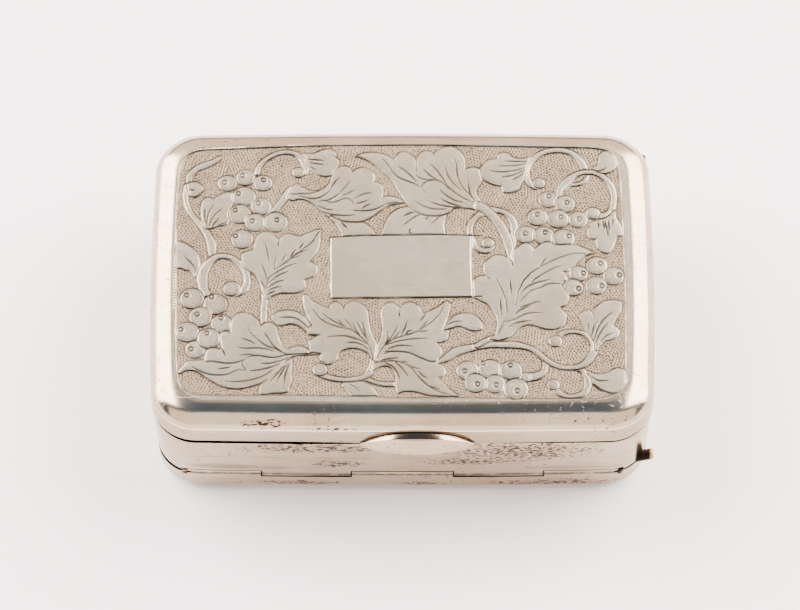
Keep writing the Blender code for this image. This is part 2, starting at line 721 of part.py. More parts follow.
# Lift tab at the front of the grille: a small half-round ridge
tab_y = grille_middle_y - grille_half_depth + GRILLE_BORDER / 2
tab_rings = []
for step in range(LIP_STEPS + 1):
    along = 2 * step / LIP_STEPS - 1
    bulge = math.sqrt(max(1 - along * along, 0)) * (1 - LIP_TIP_SHARE) + LIP_TIP_SHARE
    low = GRILLE_TOP_Z + LIP_GAP
    half = TAB_DEPTH / 2 * bulge
    top = low + TAB_HEIGHT * bulge
    profile = ((-half, low), (half, low), (half / 2, top), (-half / 2, top))
    tab_rings.append([(TAB_HALF_WIDTH * along, tab_y + y, z) for y, z in profile])
make_object("grille_lift_tab", loft(tab_rings), GILT, grille_axis)

# Small hinge of the grille: two knuckles on the liner, one on the plate, and a pin
grille_place = tuple(grille_axis.location)
grille_bore = bore_radius(GRILLE_PIN_RADIUS)
outer_start = GRILLE_KNUCKLE_HALF_LENGTH + KNUCKLE_END_GAP
outer_spans = ((-GRILLE_HINGE_HALF_LENGTH, -outer_start), (outer_start, GRILLE_HINGE_HALF_LENGTH))
for number, (low, high) in enumerate(outer_spans):
    shape = tube(low, high, GRILLE_KNUCKLE_RADIUS, grille_bore)
    make_object("grille_hinge_liner_knuckle_" + str(number + 1), shape, GILT, None, grille_place)
shape = tube(-GRILLE_KNUCKLE_HALF_LENGTH, GRILLE_KNUCKLE_HALF_LENGTH, GRILLE_KNUCKLE_RADIUS, grille_bore)
make_object("grille_hinge_knuckle", shape, GILT, grille_axis, grille_place)
grille_pin_stations = (
    (-GRILLE_HINGE_HALF_LENGTH, 0, GRILLE_PIN_RADIUS),
    (GRILLE_HINGE_HALF_LENGTH, 0, GRILLE_PIN_RADIUS))
make_object("grille_hinge_pin", round_pin(grille_pin_stations), BRASS, None, grille_place)

# Sponge: a pad with rounded edges that fills the inner compartment up to the grille
sponge_inset = ledge_outer + LEDGE_WIDTH + SPONGE_CLEARANCE
sponge_low = PARTITION_TOP_Z + SPONGE_CLEARANCE
sponge_high = GRILLE_BOTTOM_Z - SPONGE_TOP_GAP
sponge_rings = []
for edge_z, toward_middle in ((sponge_low, 1), (sponge_high, -1)):
    stage = []
    for step in range(ROUND_STEPS // 2 + 1):
        turn = math.radians(QUARTER_TURN * step / (ROUND_STEPS // 2))
        inset = sponge_inset + SPONGE_ROUND * (1 - math.sin(turn))
        z = edge_z + toward_middle * SPONGE_ROUND * (1 - math.cos(turn))
        stage.append(ring(inset, CORNER_RADIUS - inset / 2, z))
    sponge_rings.extend(stage if toward_middle > 0 else stage[::-1])
make_object("sponge", loft(sponge_rings), SPONGE)
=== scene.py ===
# Double-lidded vinaigrette box in engraved silver: the finished look over its CAD frame.
# Places and sizes in the dictionaries are millimetres, and metres for the camera and the lights.
# Meshes are written in metres.

import math

import bmesh
import bpy
import numpy as np
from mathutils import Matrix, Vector


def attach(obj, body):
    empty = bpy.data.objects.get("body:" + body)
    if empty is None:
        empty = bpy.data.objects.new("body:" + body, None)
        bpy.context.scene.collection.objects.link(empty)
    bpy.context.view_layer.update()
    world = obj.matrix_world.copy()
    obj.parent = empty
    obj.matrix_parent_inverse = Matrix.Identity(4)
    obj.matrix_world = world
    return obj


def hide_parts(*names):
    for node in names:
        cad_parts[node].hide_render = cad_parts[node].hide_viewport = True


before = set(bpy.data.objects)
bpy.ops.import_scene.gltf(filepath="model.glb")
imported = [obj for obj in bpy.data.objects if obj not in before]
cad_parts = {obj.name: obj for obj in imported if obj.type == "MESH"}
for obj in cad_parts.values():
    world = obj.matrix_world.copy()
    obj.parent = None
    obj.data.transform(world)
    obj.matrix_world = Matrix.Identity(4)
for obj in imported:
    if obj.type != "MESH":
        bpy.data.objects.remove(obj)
bpy.context.view_layer.update()
scene = bpy.context.scene
metresPerMm = 0.001

# The CAD's own sizes, which every piece here is built from
box = {
    "width": 42.0, "depth": 28.9, "corner": 3.5, "sideBow": 0.4, "frontBow": 0.25, "leastCorner": 0.2,
    "lowerSeam": 3.1, "upperSeam": 8.75, "top": 12.43, "wall": 0.5, "gap": 0.04,
    "lidRound": 1.95, "lidSweep": 78.0, "setback": 0.1, "taper": 0.25, "baseRound": 1.45, "baseDraw": 0.1,
    "hingeInset": 0.45, "hingeOverCorner": 0.85}
ringSteps = {"corner": 16, "side": 18, "front": 40}


def colour(code):
    # Linear colour from an sRGB hex code
    channels = []
    for start in (1, 3, 5):
        value = int(code[start:start + 2], 16) / 255
        channels.append(value / 12.92 if value <= 0.04045 else ((value + 0.055) / 1.055) ** 2.4)
    return (*channels, 1.0)


def perMm(size):
    # Texture scale that makes a pattern of a given size in mm
    return 1 / (size * metresPerMm)


# Shapes


def roundedPlan(halfWidth, halfDepth, radius, middleY=0.0, backRadius=None):
    # Rounded rectangle in mm, anticlockwise from the front right corner, with bowed sides
    flatX = halfWidth - box["sideBow"]
    flatY = halfDepth - box["frontBow"]
    runs = (ringSteps["side"], ringSteps["front"]) * 2
    arcs = []
    for index, (sideX, sideY) in enumerate(((1, -1), (1, 1), (-1, 1), (-1, -1))):
        r = max(backRadius if backRadius and sideY > 0 else radius, box["leastCorner"])
        turn = np.radians(90 * (index - 1 + np.arange(ringSteps["corner"] + 1) / ringSteps["corner"]))
        arcs.append(np.stack([sideX * (flatX - r) + r * np.cos(turn),
                              sideY * (flatY - r) + r * np.sin(turn)], 1))
    rows = []
    for index, arc in enumerate(arcs):
        share = (np.arange(1, runs[index]) / runs[index])[:, None]
        rows += [arc, arc[-1] + (arcs[(index + 1) % 4][0] - arc[-1]) * share]
    return bowed(np.concatenate(rows), flatX, flatY) + (0, middleY)


def bowed(points, flatX, flatY):
    # Sides that swell a little towards their middles
    x, y = points[:, 0], points[:, 1]
    return np.stack([x * (1 + box["sideBow"] / flatX * (1 - (y / flatY) ** 2)),
                     y * (1 + box["frontBow"] / flatY * (1 - (x / flatX) ** 2))], 1)


def ring(inset, radius, z):
    # One level of a shell: the lid's outline drawn in by an inset
    plan = roundedPlan(box["width"] / 2 - inset, box["depth"] / 2 - inset, radius)
    return np.column_stack([plan, np.full(len(plan), z)])


def faceY(x, inset):
    # How far the long face lies from the middle, at a place along it
    flatX = box["width"] / 2 - inset - box["sideBow"]
    return box["depth"] / 2 - inset - box["frontBow"] * (x / flatX) ** 2


def bodyInset(z):
    share = min(max((box["upperSeam"] - z) / (box["upperSeam"] - box["lowerSeam"]), 0), 1)
    return box["setback"] + box["taper"] * share


def baseInset(z):
    share = (box["lowerSeam"] - z) / (box["lowerSeam"] - box["baseRound"])
    return box["setback"] + box["taper"] + box["baseDraw"] * share


hingeHalf = box["width"] / 2 - box["sideBow"] - box["corner"] + box["hingeOverCorner"]
lidAxis = np.array((0, box["depth"] / 2 - box["hingeInset"], box["upperSeam"]))
baseAxis = np.array((0, box["hingeInset"] + bodyInset(box["lowerSeam"]) - box["depth"] / 2,
                     box["lowerSeam"]))


def newPiece(name, points, faces, sharpDeg=30.0):
    # Object from points in mm and faces, shaded smooth but for its sharp edges
    mesh = bpy.data.meshes.new(name)
    mesh.from_pydata((np.asarray(points) * metresPerMm).tolist(), [], faces)
    shape = bmesh.new()
    shape.from_mesh(mesh)
    bmesh.ops.recalc_face_normals(shape, faces=shape.faces)
    shape.to_mesh(mesh)
    shape.free()
    return addObject(name, mesh, sharpDeg)


def addObject(name, mesh, sharpDeg=30.0):
    piece = bpy.data.objects.new(name, mesh)
    scene.collection.objects.link(piece)
    shadePiece(piece, sharpDeg)
    return piece


def shadePiece(piece, sharpDeg=30.0):
    piece.data.shade_smooth()
    piece.data.set_sharp_from_angle(angle=math.radians(sharpDeg))


def loft(name, rings, cyclic=False, sharpDeg=30.0):
    # Skin a row of rings with equal counts, capped at both ends unless it closes on itself
    count = len(rings[0])
    total = len(rings)
    faces = []
    for level in range(total if cyclic else total - 1):
        low, high = level * count, (level + 1) % total * count
        faces += [(low + i, low + (i + 1) % count, high + (i + 1) % count, high + i) for i in range(count)]
    if not cyclic:
        faces += [tuple(range(count)), tuple(range((total - 1) * count, total * count))]
    return newPiece(name, np.concatenate(rings), faces, sharpDeg)


def boxCutter(low, high):
    # Plain box for a Boolean
    x, y, z = zip(low, high)
    rings = [[(x[0], y[0], level), (x[1], y[0], level), (x[1], y[1], level), (x[0], y[1], level)]
             for level in z]
    return loft("cutter", [np.array(corners, float) for corners in rings])


def cut(piece, cutters, operation="DIFFERENCE", sharpDeg=30.0):
    # Apply exact Booleans and drop the cutters
    for cutter in cutters:
        modifier = piece.modifiers.new("cut", "BOOLEAN")
        modifier.operation, modifier.solver, modifier.object = operation, "EXACT", cutter
    bake(piece)
    for cutter in cutters:
        bpy.data.objects.remove(cutter, do_unlink=True)
    shadePiece(piece, sharpDeg)


def bake(piece):
    # Turn the evaluated shape into the piece's own plain mesh
    bpy.context.view_layer.update()
    graph = bpy.context.evaluated_depsgraph_get()
    mesh = bpy.data.meshes.new_from_object(piece.evaluated_get(graph), preserve_all_data_layers=True,
                                           depsgraph=graph)
    piece.modifiers.clear()
    piece.data = mesh


def finish(piece, body, slot, material, *nodes):
    # Give a piece its material and the body it rides on, and hide the CAD nodes it stands for. Its slot is
    # not used
    piece.data.materials.clear()
    piece.data.materials.append(material)
    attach(piece, body)
    if nodes:
        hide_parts(*nodes)
    return piece


# Materials


def addNode(tree, kind, links=None, **settings):
    # Add one node, set its properties, and set or link its inputs
    node = tree.nodes.new(kind)
    for key, value in settings.items():
        setattr(node, key, value)
    for key, value in (links or {}).items():
        if isinstance(value, bpy.types.NodeSocket):
            tree.links.new(value, node.inputs[key])
        else:
            node.inputs[key].default_value = value
    return node


def newTree(name, inputs, output):
    # Geometry Nodes tree with named inputs, and the sockets that they arrive at
    tree = bpy.data.node_groups.new(name, "GeometryNodeTree")
    for label, kind in inputs.items():
        tree.interface.new_socket(label, in_out="INPUT", socket_type="NodeSocket" + kind)
    tree.interface.new_socket(output, in_out="OUTPUT", socket_type="NodeSocketGeometry")
    return tree, tree.nodes.new("NodeGroupInput").outputs


def newMaterial(name):
    material = bpy.data.materials.new(name)
    material.use_nodes = True
    tree = material.node_tree
    return material, tree, tree.nodes["Principled BSDF"]


def ramp(tree, value, low, high):
    # Smooth step of a value between two levels
    return addNode(tree, "ShaderNodeMapRange", {0: value, 1: low, 2: high, 3: 0.0, 4: 1.0},
                   interpolation_type="SMOOTHSTEP").outputs[0]


def mix(tree, factor, first, second):
    node = addNode(tree, "ShaderNodeMix", {0: factor, 6: first, 7: second}, data_type="RGBA")
    return node.outputs[2]


def calc(tree, operation, first, second=0.0, third=0.0):
    return addNode(tree, "ShaderNodeMath", {0: first, 1: second, 2: third}, operation=operation).outputs[0]


def speckle(tree, place, size, detail=4.0, stretch=None):
    # Noise of a size in mm, pulled out along an axis if asked
    if stretch:
        place = addNode(tree, "ShaderNodeMapping", {0: place, 3: stretch}).outputs[0]
    return addNode(tree, "ShaderNodeTexNoise", {"Vector": place, "Scale": perMm(size), "Detail": detail,
                                                "Roughness": 0.6}).outputs["Fac"]


def closeTo(tree, value, level, low, high):
    # One close to a level in mm, nothing beyond it
    away = calc(tree, "ABSOLUTE", calc(tree, "SUBTRACT", value, level * metresPerMm))
    return calc(tree, "SUBTRACT", 1.0, ramp(tree, away, low * metresPerMm, high * metresPerMm))


def most(tree, values):
    # The largest of several masks
    total = values[0]
    for value in values[1:]:
        total = calc(tree, "MAXIMUM", total, value)
    return total


def patch(tree, parts, spot):
    # Soft oval on the front, from one in its middle to nothing at its edge
    x, z, halfX, halfZ = [value * metresPerMm for value in spot]
    across = calc(tree, "DIVIDE", calc(tree, "SUBTRACT", parts[0], x), halfX)
    up = calc(tree, "DIVIDE", calc(tree, "SUBTRACT", parts[2], z), halfZ)
    far = calc(tree, "MULTIPLY_ADD", across, across, calc(tree, "MULTIPLY", up, up))
    return calc(tree, "MAXIMUM", calc(tree, "SUBTRACT", 1.0, far), 0.0)


def hingeGapShade(tree, parts):
    # Painted shade in the flush hinges' gaps: between knuckles, and along each one where it parts from its
    # neighbour
    near1, far1 = [hingeHalf * share for share in hinge["shares"]]
    along = calc(tree, "ABSOLUTE", parts[0])
    fixed = calc(tree, "MULTIPLY", calc(tree, "GREATER_THAN", along, near1 * metresPerMm),
                 calc(tree, "LESS_THAN", along, far1 * metresPerMm))
    within = calc(tree, "LESS_THAN", along, (hingeHalf + 0.05) * metresPerMm)
    edge = hinge["radius"] + hinge["clear"] / 2
    masks = []
    for axis, toBody in ((baseAxis, 1), (lidAxis, -1)):
        here = calc(tree, "GREATER_THAN", calc(tree, "MULTIPLY", parts[1], -toBody), 0.01)
        bodyLine = closeTo(tree, parts[2], axis[2] - toBody * edge, 0.03, 0.1)
        lidLine = closeTo(tree, parts[2], axis[2] + toBody * edge, 0.03, 0.1)
        lines = calc(tree, "ADD", calc(tree, "MULTIPLY", bodyLine, fixed),
                     calc(tree, "MULTIPLY", lidLine, calc(tree, "SUBTRACT", within, fixed)))
        ends = calc(tree, "MAXIMUM", closeTo(tree, along, near1, 0.04, 0.09),
                    closeTo(tree, along, far1, 0.04, 0.09))
        ends = calc(tree, "MULTIPLY", ends, closeTo(tree, parts[2], axis[2], 0.5, 0.6))
        masks.append(calc(tree, "MULTIPLY", here, calc(tree, "MAXIMUM", lines, ends)))
    return most(tree, masks)


def metal(name, look):
    # Old hand-worn metal: soft colour drift, tarnish and painted shade near the seams, a painted highlight
    # on the crease, corrosion, pits, scratches and dents, and painted shade in the hinge gaps
    material, tree, shader = newMaterial(name)
    place = addNode(tree, "ShaderNodeTexCoord").outputs["Object"]
    parts = addNode(tree, "ShaderNodeSeparateXYZ", {0: place}).outputs
    drift = ramp(tree, speckle(tree, place, 6.0), 0.35, 0.7)
    base = mix(tree, drift, colour(look["clean"]), colour(look["warm"]))
    streaks = ramp(tree, speckle(tree, place, 0.5, 4.0, (0.12, 1.0, 1.0)), 0.5, 0.75)
    base = mix(tree, calc(tree, "MULTIPLY", streaks, look.get("streaks", 0.0)), base, colour(look["stain"]))
    # Brown patches on the front: real stains, but the one over the thumbpiece's top is painted shade where
    # it meets the lid, and the wide faint one only darkens the front about the upper seam
    for *spot, strength in look.get("stainsAndShade", ()):
        stainAndShadeMask = ramp(tree, calc(tree, "MULTIPLY_ADD", speckle(tree, place, 1.0, 3.0), 0.5,
                              patch(tree, parts, spot)), 0.3, 0.9)
        stainAndShadeMask = calc(tree, "MULTIPLY", stainAndShadeMask, calc(tree, "LESS_THAN", parts[1], -0.008))
        base = mix(tree, calc(tree, "MULTIPLY", stainAndShadeMask, strength), base, colour(look["brown"]))
    # Painted highlight: a bright line along the crease where the lid's rounding meets its rim
    for level, strength in look.get("creaseGlint", ()):
        glintLine = calc(tree, "MULTIPLY", closeTo(tree, parts[2], level, 0.02, 0.11), strength)
        base = mix(tree, glintLine, base, colour(look["bright"]))
    pits = calc(tree, "MULTIPLY",
                ramp(tree, speckle(tree, place, 0.35, 6.0), look["pits"], look["pits"] + 0.06),
                ramp(tree, speckle(tree, place, 5.0, 2.0), 0.45, 0.62))
    if "rust" in look:
        spread = calc(tree, "MULTIPLY", most(tree, [patch(tree, parts, spot) for spot in look["rust"]]),
                      calc(tree, "LESS_THAN", parts[1], -0.008))
        eaten = speckle(tree, place, 0.2, 5.0, (0.5, 1.0, 1.0))
        eaten = calc(tree, "MULTIPLY",
                     ramp(tree, calc(tree, "MULTIPLY_ADD", spread, 0.12, eaten), 0.585, 0.64),
                     ramp(tree, spread, 0.0, 0.2))
        redness = calc(tree, "MULTIPLY", ramp(tree, speckle(tree, place, 1.2, 3.0), 0.45, 0.6),
                       ramp(tree, parts[0], 0.003, 0.008))
        halo = calc(tree, "MULTIPLY", ramp(tree, spread, 0.1, 0.9), 0.2)
        base = mix(tree, halo, base, colour(look["rustHalo"]))
        base = mix(tree, calc(tree, "MULTIPLY", eaten, 0.9), base, mix(tree, redness, colour(look["dark"]),
                                                                       colour(look["rustRed"])))
        pits = calc(tree, "MAXIMUM", pits, eaten)
    base = mix(tree, calc(tree, "MULTIPLY", pits, look.get("pitDark", 0.85)), base, colour(look["dark"]))
    # Along the seams: patchy grime with painted shade, and near-black painted shade on the flat faces inside
    # each seam's gap and round the shadow spots
    if "seams" in look:
        seams = most(tree, [closeTo(tree, parts[2], level, 0.02, reach) for level, reach in look["seams"]])
        grimeAndShade = calc(tree, "MULTIPLY", seams, ramp(tree, speckle(tree, place, 0.8, 5.0), 0.2, 0.6))
        facing = addNode(tree, "ShaderNodeTexCoord").outputs["Normal"]
        facing = calc(tree, "ABSOLUTE", addNode(tree, "ShaderNodeSeparateXYZ", {0: facing}).outputs[2])
        jointShade = most(tree, [closeTo(tree, parts[2], level, 0.3, 0.5) for level, reach in look["seams"]])
        jointShade = calc(tree, "MULTIPLY", jointShade, ramp(tree, facing, 0.35, 0.7))
        for x, y, z, reach in look.get("shadowSpots", ()):
            middle = [value * metresPerMm for value in (x, y, z)]
            away = addNode(tree, "ShaderNodeVectorMath", {0: place, 1: middle},
                           operation="DISTANCE").outputs["Value"]
            shade = calc(tree, "SUBTRACT", 1.0,
                         ramp(tree, away, reach * 0.8 * metresPerMm, reach * metresPerMm))
            jointShade = calc(tree, "MAXIMUM", jointShade, shade)
        base = mix(tree, calc(tree, "MULTIPLY", grimeAndShade, look["seamDark"]), base, colour(look["dark"]))
        base = mix(tree, calc(tree, "MULTIPLY", jointShade, 0.95), base, colour("#0b0705"))
    if "lines" in look:
        thin = most(tree, [closeTo(tree, parts[2], level, 0.01, 0.05) for level in look["lines"]])
        thin = calc(tree, "MULTIPLY", thin, ramp(tree, speckle(tree, place, 3.0, 3.0), 0.42, 0.55))
        base = mix(tree, calc(tree, "MULTIPLY", thin, 0.7), base, colour(look["dark"]))
        # Painted shade in the hinges' gaps, and where a knuckle's face sinks behind the wall
        recess = addNode(tree, "ShaderNodeAttribute", attribute_name="recess").outputs["Fac"]
        hingeShade = calc(tree, "MAXIMUM", hingeGapShade(tree, parts), ramp(tree, recess, 0.06, 0.14))
        base = mix(tree, calc(tree, "MULTIPLY", hingeShade, 0.96), base, colour("#0d0906"))
    if "wornEnd" in look:
        tip = ramp(tree, parts[0], look["wornEnd"][0] * metresPerMm, look["wornEnd"][1] * metresPerMm)
        base = mix(tree, calc(tree, "MULTIPLY", tip, 0.9), base, colour(look["bright"]))
    scratches = calc(tree, "MAXIMUM",
                     ramp(tree, speckle(tree, place, 0.25, 2.0, (0.03, 1.0, 1.0)), 0.66, 0.72),
                     ramp(tree, speckle(tree, place, 0.07, 2.0, (1.0, 0.5, 0.6)), 0.72, 0.82))
    rough = calc(tree, "MULTIPLY_ADD", speckle(tree, place, 1.2, 5.0), look["roughSpread"], look["rough"])
    rough = calc(tree, "MULTIPLY_ADD", scratches, 0.12, rough)
    rough = calc(tree, "MULTIPLY_ADD", pits, 0.15, rough)
    surface = calc(tree, "MULTIPLY_ADD", scratches, -0.12, calc(tree, "MULTIPLY", pits, -1.0))
    surface = calc(tree, "MULTIPLY_ADD", speckle(tree, place, 0.12, 3.0), 0.35, surface)
    surface = calc(tree, "MULTIPLY_ADD", speckle(tree, place, 3.0, 1.0), look["dents"], surface)
    bump = addNode(tree, "ShaderNodeBump", {"Height": surface, "Distance": look["bump"] * metresPerMm,
                                            "Strength": 1.0}).outputs[0]
    tree.links.new(base, shader.inputs["Base Color"])
    tree.links.new(rough, shader.inputs["Roughness"])
    tree.links.new(bump, shader.inputs["Normal"])
    shader.inputs["Metallic"].default_value = 1.0
    return material


# Sterling silver, raised and worn: warm grey tarnish, and brown stains and corrosion in patches on the
# front, each one given by its place, then its half sizes. The brown patch over the thumbpiece's top is
# painted shade, the wide faint one only darkens the front about the upper seam, the seams carry painted
# shade with their grime, and the crease between the lid's rounding and its rim a painted highlight
silverLook = {"clean": "#b7a58f", "warm": "#ad967d", "bright": "#ebe1d2", "dark": "#2c1e13",
              "stain": "#8f7459",
              "streaks": 0.4, "pits": 0.6, "rough": 0.13, "roughSpread": 0.09, "dents": 3.0, "bump": 0.004,
              "seams": ((3.1, 0.3), (8.75, 0.16)), "seamDark": 0.9,
              "stainsAndShade": ((-15.2, 4.4, 3.4, 0.55, 0.45), (-12.6, 4.15, 4.0, 0.4, 0.35),
                          (14.5, 4.2, 5.5, 0.3, 0.35),
                          (1.25, 10.66, 5.2, 0.26, 0.6), (0.0, 9.85, 60.0, 1.9, 0.2)),
              "creaseGlint": ((10.885, 0.75),), "lines": (6.0,),
              "brown": "#5f4c39", "rustRed": "#9a5c36", "rustHalo": "#a98260",
              "rust": ((-7.6, 7.8, 6.4, 0.95), (-5.4, 5.0, 2.6, 0.7), (9.8, 7.3, 7.2, 1.9),
                       (-11.4, 11.5, 2.4, 0.4),
                       (-5.8, 11.1, 2.2, 0.2), (12.6, 1.4, 6.4, 0.75), (-8.6, 1.5, 3.8, 0.5),
                       (1.4, 1.4, 2.4, 0.4), (6.0, 5.4, 5.0, 0.7))}
# Silver-gilt: painted shade along the seams it shows through, and a painted shadow in the slot by the base
# pin's end
giltLook = {"clean": "#d9b273", "warm": "#c49350", "bright": "#f0d9a4", "dark": "#1f140a",
            "stain": "#9c6a34",
            "streaks": 0.2, "pits": 0.63, "rough": 0.22, "roughSpread": 0.14, "dents": 3.0, "bump": 0.004,
            "seams": ((3.1, 0.9), (8.75, 0.5)), "seamDark": 0.97, "shadowSpots": ((20.0, -12.6, 3.2, 3.4),)}
brassLook = {"clean": "#1c150e", "warm": "#120d08", "bright": "#a88d62", "dark": "#080604",
             "stain": "#241a11",
             "streaks": 0.3, "pits": 0.55, "rough": 0.38, "roughSpread": 0.2, "dents": 2.0, "bump": 0.006,
             "wornEnd": (20.55, 20.75)}


def engravedSilver(name, look):
    # The panel's silver: satin forms, a darker warm ground, and tarnish with painted shade in every cut
    material, tree, shader = newMaterial(name)
    place = addNode(tree, "ShaderNodeTexCoord").outputs["Object"]
    masks = [addNode(tree, "ShaderNodeAttribute", attribute_name=key).outputs["Fac"]
             for key in ("ground", "grimeAndShade")]
    base = mix(tree, ramp(tree, speckle(tree, place, 7.0), 0.35, 0.7), colour(look["clean"]),
               colour(look["warm"]))
    blotch = ramp(tree, speckle(tree, place, 0.7, 5.0), 0.45, 0.75)
    base = mix(tree, calc(tree, "MULTIPLY", blotch, 0.25), base, colour(look["ground"]))
    base = mix(tree, masks[0], base, colour(look["ground"]))
    pricks = calc(tree, "MULTIPLY", ramp(tree, speckle(tree, place, 0.17, 2.0), 0.52, 0.62), masks[0])
    base = mix(tree, calc(tree, "MULTIPLY", pricks, 0.6), base, colour(look["dark"]))
    patchy = calc(tree, "MULTIPLY_ADD", ramp(tree, speckle(tree, place, 1.5, 4.0), 0.25, 0.65), 0.4, 0.6)
    base = mix(tree, calc(tree, "MULTIPLY", calc(tree, "MULTIPLY", masks[1], look["grimeAndShade"]), patchy),
               base, colour(look["dark"]))
    rough = calc(tree, "MULTIPLY_ADD", speckle(tree, place, 0.8, 5.0), look["roughSpread"], look["rough"])
    rough = calc(tree, "MULTIPLY_ADD", masks[0], 0.1, rough)
    surface = calc(tree, "MULTIPLY_ADD", speckle(tree, place, 0.1, 4.0), 0.5,
                   ramp(tree, speckle(tree, place, 0.22, 2.0, (0.05, 1.0, 1.0)), 0.64, 0.7))
    bump = addNode(tree, "ShaderNodeBump", {"Height": surface, "Distance": look["bump"] * metresPerMm,
                                            "Strength": 1.0}).outputs[0]
    tree.links.new(base, shader.inputs["Base Color"])
    tree.links.new(rough, shader.inputs["Roughness"])
    tree.links.new(bump, shader.inputs["Normal"])
    shader.inputs["Metallic"].default_value = 1.0
    return material


hinge = {"radius": 0.5, "pin": 0.25, "bore": 0.285, "clear": 0.05, "relief": 0.08, "endGap": 0.06,
         "proud": 0.02,
         "bearer": 0.1, "shares": (0.237, 0.655), "sides": 32, "lidBend": -0.6, "baseBend": 1.2,
         "web": 0.57, "stations": 14}
silver = metal("wornSilver", silverLook)
gilt = metal("silverGilt", giltLook)
brass = metal("tarnishedBrass", brassLook)
engraved = engravedSilver("engravedSilver", {
    "clean": "#c2b5a0", "warm": "#b9a78f", "ground": "#9a8870", "dark": "#2a1d13", "grimeAndShade": 0.98,
    "rough": 0.2,
    "roughSpread": 0.08, "bump": 0.004})

# Shells
shell = {"recess": 0.22, "edgeRound": 0.05, "steps": 20}


def roundedShell(name, edgeInset, edgeZ, rimInset, radius, sweepDeg, upwards, recess):
    # Pan with a rounded edge: outer levels from the flat to the open edge, then the inner ones
    sweep = math.radians(sweepDeg)
    centreInset = rimInset + radius * math.sin(sweep)
    flatZ, toward = (box["top"], 1) if upwards else (0.0, -1)
    centreZ = flatZ - toward * radius
    corner = box["corner"] - rimInset
    wall = box["wall"]
    outer, inner = [], []
    for turn in np.linspace(0, sweep, shell["steps"] + 1):
        reach = centreInset - radius * math.sin(turn)
        stepCorner = corner - (reach - rimInset) / 2
        outer.append(ring(reach, stepCorner, centreZ + toward * radius * math.cos(turn)))
        innerReach = centreInset - (radius - wall) * math.sin(turn)
        inner.append(ring(innerReach, stepCorner - (innerReach - reach),
                          centreZ + toward * (radius - wall) * math.cos(turn)))
    if recess:
        outer.insert(0, ring(centreInset, corner - (centreInset - rimInset) / 2, flatZ - shell["recess"]))
    wallHere = wall * math.sin(sweep)
    soft = shell["edgeRound"]
    rimZ = centreZ + toward * radius * math.cos(sweep)
    for share in (0.35, 0.7):
        z = rimZ + (edgeZ - rimZ) * share
        outer.append(ring(rimInset + (edgeInset - rimInset) * share, corner, z))
    for turn in np.radians((0, 30, 60, 90)):
        outer.append(ring(edgeInset + soft * (1 - math.cos(turn)), corner,
                          edgeZ + toward * soft * (1 - math.sin(turn))))
    inner.append(ring(edgeInset + wallHere, corner - wallHere, edgeZ))
    return loft(name, outer + inner[::-1], sharpDeg=24.0)


def sideBand(name, levels, thickness):
    # Upright band through levels of (inset, z), with softened outer edges
    soft = shell["edgeRound"]
    outer = []
    (firstInset, firstZ), (lastInset, lastZ) = levels[0], levels[-1]
    for turn in np.radians((90, 60, 30)):
        outer.append((firstInset + soft * (1 - math.cos(turn)), firstZ + soft * (1 - math.sin(turn))))
    outer += [(firstInset, firstZ + soft), *levels[1:-1], (lastInset, lastZ - soft)]
    for turn in np.radians((30, 60, 90)):
        outer.append((lastInset + soft * (1 - math.cos(turn)), lastZ - soft * (1 - math.sin(turn))))
    rows = [ring(inset, box["corner"] - inset, z) for inset, z in outer]
    rows += [ring(inset + thickness, box["corner"] - inset - thickness, z) for inset, z in reversed(levels)]
    return loft(name, rows, True, 24.0)


farX, farY = box["width"] / 2 + 1, box["depth"] / 2 + 1


def hingeSlots(axis, side, bend, picks):
    # The same three slots as in the CAD: along the whole side, for the knuckles, and for the pin's end
    half = hinge["radius"] + hinge["clear"]
    slots = ((-farX, farX, hinge["relief"]),
             (-hingeHalf - hinge["endGap"], hingeHalf + hinge["endGap"], half),
             (hingeHalf, farX, half + bend * (1 if side < 0 else -1)))
    cutters = []
    for left, right, inside in [slots[pick] for pick in picks]:
        nearY = axis[1] - side * inside
        cutters.append(boxCutter((left, min(nearY, side * farY), axis[2] - half),
                                 (right, max(nearY, side * farY), axis[2] + half)))
    return cutters


gap = box["gap"]
lidShell = roundedShell("lidShell", 0, box["upperSeam"] + gap, 0, box["lidRound"], box["lidSweep"],
                        True, True)
baseShell = roundedShell("baseLidShell", baseInset(box["lowerSeam"]), box["lowerSeam"] - gap,
                         baseInset(box["baseRound"]), box["baseRound"], 90.0, False, False)
band = sideBand("bodyBand", [(bodyInset(z), z)
                             for z in np.linspace(box["lowerSeam"] + gap, box["upperSeam"] - gap, 8)],
                box["wall"])


def openSeam(piece, low, high, spots, toward):
    # The worn lids don't quite close: their edges stand off near some places along the front
    for corner in piece.data.vertices:
        x, y, z = corner.co / metresPerMm
        if low < z < high and y < 0:
            lift = sum(height * math.exp(-((x - middle) / reach) ** 2) for middle, reach, height in spots)
            corner.co.z += toward * metresPerMm * lift * min(-y / 9, 1.0)


openSeam(lidShell, 8.7, 8.95,
         ((-18.0, 6.0, 0.24), (-8.5, 6.0, 0.24), (13.0, 5.0, 0.13), (20.0, 4.0, 0.15)), 1)
openSeam(band, 8.6, 8.8, ((-18.0, 6.0, 0.19), (-8.5, 6.0, 0.19), (16.0, 6.0, 0.13)), -1)
openSeam(baseShell, 2.95, 3.2, ((-19.6, 2.2, 0.25),), -1)


